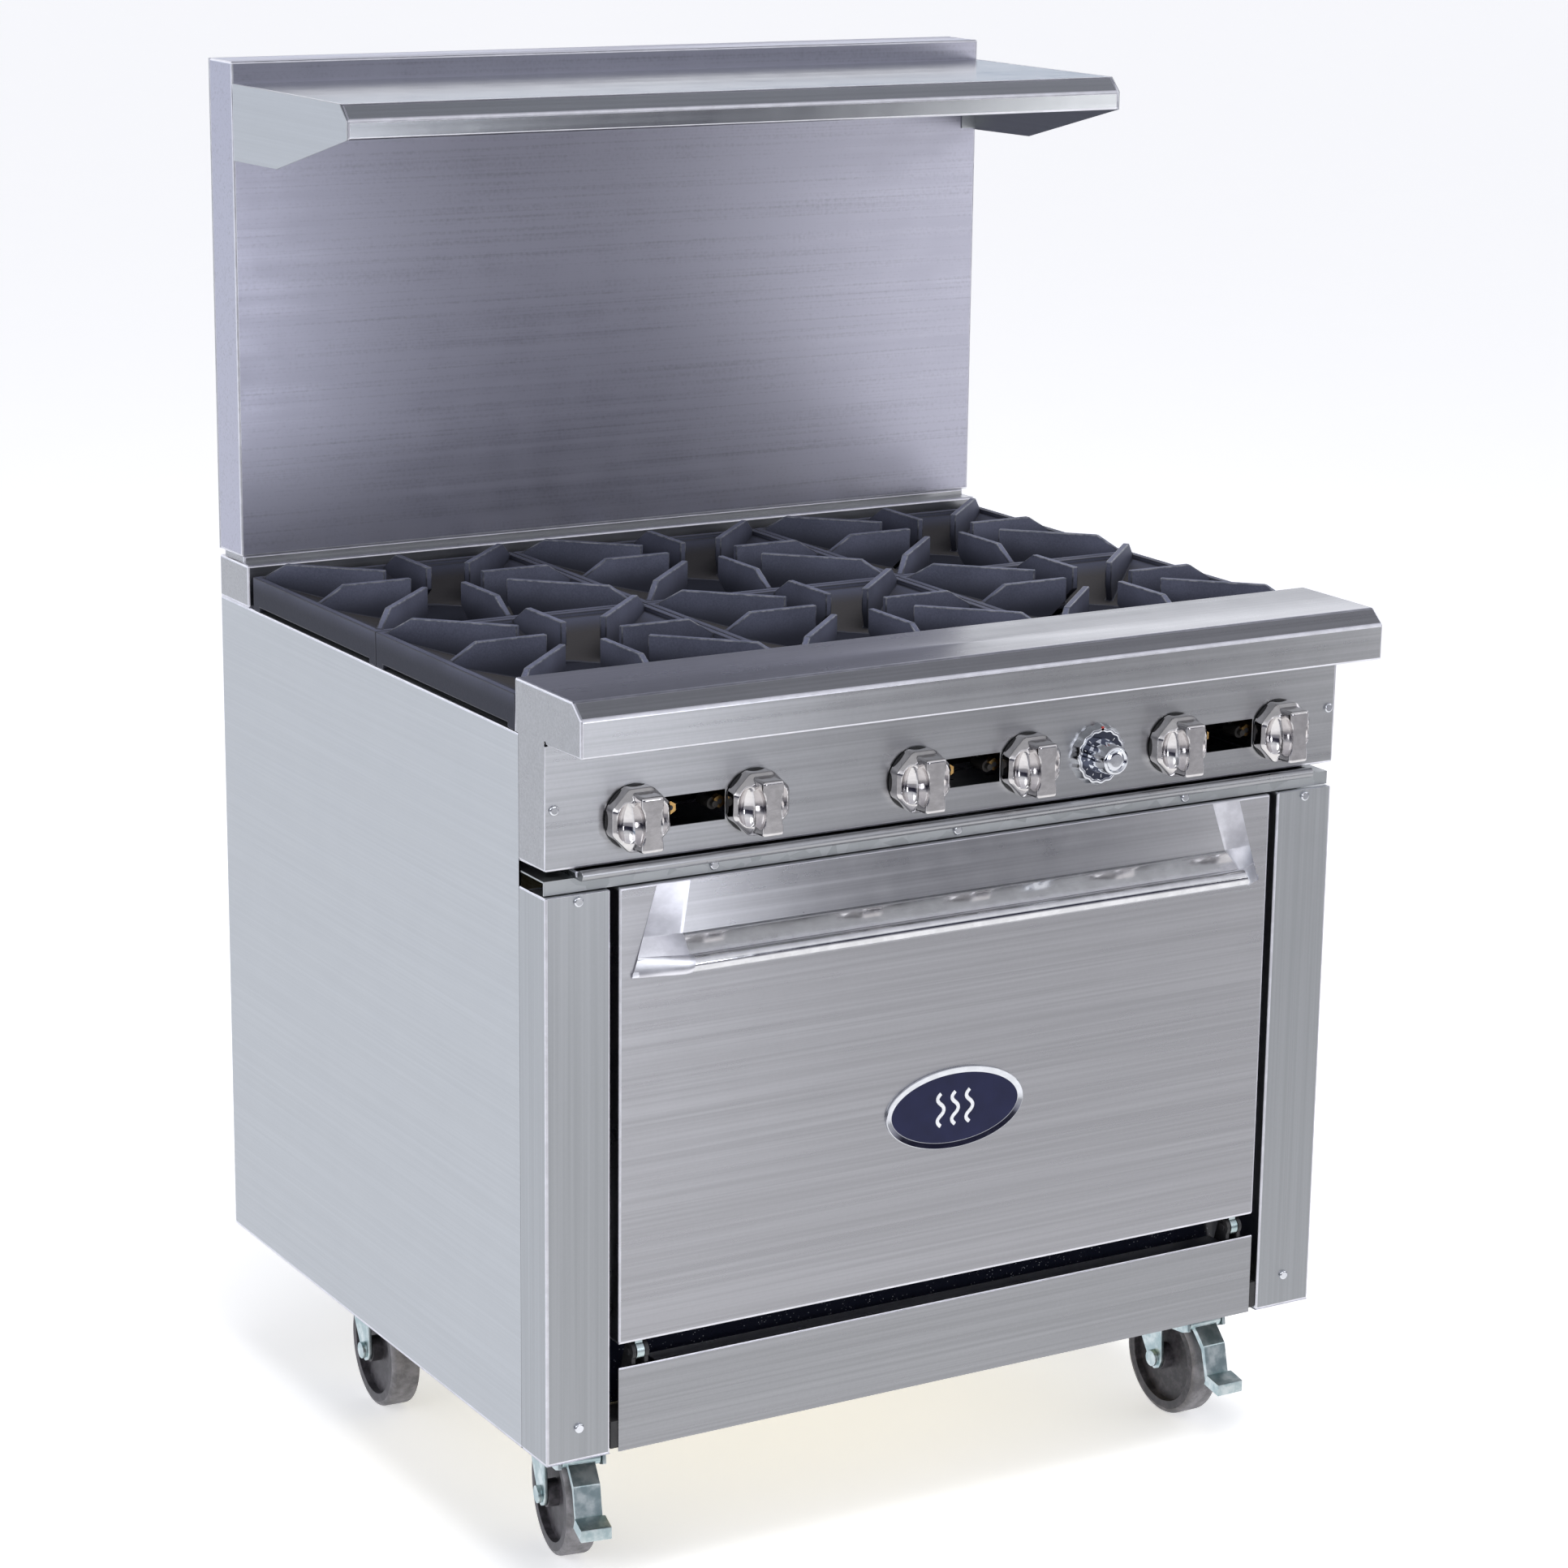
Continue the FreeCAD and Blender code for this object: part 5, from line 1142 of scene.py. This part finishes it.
# Light from each height of the view direction, from -1 straight down to 1 straight up.
FRONT_SKY = ((-1.0, (1.1, 1.1, 1.1)), (-0.40, (1.05, 1.05, 1.08)), (-0.31, (0.86, 0.86, 0.89)),
             (-0.25, (0.38, 0.38, 0.40)), (-0.17, (0.34, 0.34, 0.38)), (-0.11, (0.20, 0.20, 0.25)),
             (-0.07, (0.01, 0.01, 0.02)), (0.08, (0.02, 0.02, 0.045)), (0.18, (0.45, 0.47, 0.52)),
             (0.35, (0.90, 0.91, 0.95)), (0.75, (0.62, 0.62, 0.68)), (1.0, (0.30, 0.32, 0.36)))
BACK_SKY = ((-1.0, (0.92, 0.94, 0.98)), (-0.08, (0.92, 0.94, 1.0)), (0.01, (0.66, 0.74, 0.88)),
            (0.05, (0.16, 0.24, 0.36)), (0.11, (0.16, 0.24, 0.36)), (0.16, (1.5, 1.5, 1.56)),
            (0.35, (1.3, 1.3, 1.36)), (0.6, (0.4, 0.42, 0.46)), (0.75, (0.06, 0.06, 0.08)),
            (1.0, (0.06, 0.06, 0.08)))


def sky(tree, height, stops):
    """A colour for each height of the view direction, from -1 straight down to 1 straight up."""
    ramp = tree.nodes.new("ShaderNodeValToRGB")
    elements = ramp.color_ramp.elements
    while len(elements) < len(stops):
        elements.new(0.5)
    for element, (where, tint) in zip(elements, stops):
        element.position = (where + 1.0) / 2.0
        element.color = (*tint, 1.0)
    tree.links.new(height, ramp.inputs[0])
    return ramp.outputs[0]


def ranged(tree, value, low, high):
    node = tree.nodes.new("ShaderNodeMapRange")
    node.inputs["From Min"].default_value = low
    node.inputs["From Max"].default_value = high
    tree.links.new(value, node.inputs["Value"])
    return node.outputs[0]


def studio_walls():
    """Soft surroundings: pale low down, dark in front at eye height, a thin dark band behind."""
    world = bpy.data.worlds.new("studio")
    bpy.context.scene.world = world
    world.use_nodes = True
    tree = world.node_tree
    place = tree.nodes.new("ShaderNodeTexCoord")
    split = tree.nodes.new("ShaderNodeSeparateXYZ")
    tree.links.new(place.outputs["Generated"], split.inputs[0])
    height = ranged(tree, split.outputs["Z"], -1.0, 1.0)
    blend = tree.nodes.new("ShaderNodeMix")
    blend.data_type = "RGBA"
    tree.links.new(ranged(tree, split.outputs["Y"], -0.20, 0.04), blend.inputs[0])
    tree.links.new(sky(tree, height, FRONT_SKY), blend.inputs[6])
    tree.links.new(sky(tree, height, BACK_SKY), blend.inputs[7])
    backdrop = tree.nodes.new("ShaderNodeMix")
    backdrop.data_type = "RGBA"
    backdrop.inputs[7].default_value = (1.0, 1.0, 1.0, 1.0)
    tree.links.new(tree.nodes.new("ShaderNodeLightPath").outputs["Is Camera Ray"], backdrop.inputs[0])
    tree.links.new(blend.outputs[2], backdrop.inputs[6])
    tree.links.new(backdrop.outputs[2], tree.nodes["Background"].inputs["Color"])
    tree.nodes["Background"].inputs["Strength"].default_value = 1.0


class RANGE_OT_stage(bpy.types.Operator):
    """Pale floor, soft lights and the camera"""
    bl_idname = "range.stage"
    bl_label = "Stage"

    def execute(self, context):
        bpy.ops.mesh.primitive_plane_add(size=120.0, location=(0, 0, CAD_BOX[0].z))
        floor = grounded(bpy.context.object, "studio_floor")
        paint = Finish("pale_floor")
        fine = paint.noise((3.0, 3.0, 3.0), 2.0)
        paint.surface(base_color=paint.mixed(fine, (0.93, 0.93, 0.93), (0.95, 0.95, 0.95)), roughness=0.9)
        paint.surface(emission_color=(1.0, 1.0, 1.0, 1.0), emission_strength=0.45)
        floor.data.materials.append(paint.material)
        floor.visible_glossy = False
        studio_walls()
        overhead = softbox("overhead_softbox", (0.2, -0.8, 4.0), (0, 0, 0.8), (3.0, 2.4), 130)
        overhead.visible_glossy = False
        softbox("guard_left_card", (0.45, -2.4, 0.80), (-0.4, 0.35, 1.15), (0.6, 0.45), 4.2,
                (0.92, 0.94, 1.0))
        streak = softbox("guard_right_card", (2.1, -2.1, 0.92), (0.3, 0.35, 1.15), (0.75, 0.75), 3.0)
        streak.rotation_euler.rotate_axis("Z", math.radians(-38))
        softbox("left_softbox", (-3.4, -1.6, 2.4), (0, 0, 0.7), (1.6, 1.6), 12, (0.95, 0.98, 1.0))
        camera()
        context.scene.view_settings.view_transform = "Standard"
        return {"FINISHED"}


# ---- add-on -------------------------------------------------------------------------------------
OPERATORS = (RANGE_OT_stage, RANGE_OT_panels, RANGE_OT_grates, RANGE_OT_burners, RANGE_OT_knobs,
             RANGE_OT_dial, RANGE_OT_handle, RANGE_OT_badge, RANGE_OT_oven, RANGE_OT_casters,
             RANGE_OT_screws)


class RANGE_PT_sidebar(bpy.types.Panel):
    """Lists the range's pieces and sizes"""
    bl_idname = "RANGE_PT_sidebar"
    bl_label = "Gas range"
    bl_space_type = "VIEW_3D"
    bl_region_type = "UI"
    bl_category = "Range"

    def draw(self, context):
        for group in (context.scene.range_sizes, context.scene.range_colours):
            box = self.layout.box()
            for key in group.bl_rna.properties.keys():
                if key not in ("rna_type", "name"):
                    box.prop(group, key)
        for operator in OPERATORS:
            self.layout.operator(operator.bl_idname)


CLASSES = (RangeSizes, RangeColours, *OPERATORS, RANGE_PT_sidebar)


def register():
    for kind in CLASSES:
        bpy.utils.register_class(kind)
    bpy.types.Scene.range_sizes = PointerProperty(type=RangeSizes)
    bpy.types.Scene.range_colours = PointerProperty(type=RangeColours)


def unregister():
    del bpy.types.Scene.range_sizes
    del bpy.types.Scene.range_colours
    for kind in reversed(CLASSES):
        bpy.utils.unregister_class(kind)


def main():
    register()
    make_finishes()
    for operator in OPERATORS:
        getattr(bpy.ops.range, operator.bl_idname.split(".")[1])()


if __name__ == "__main__":
    main()
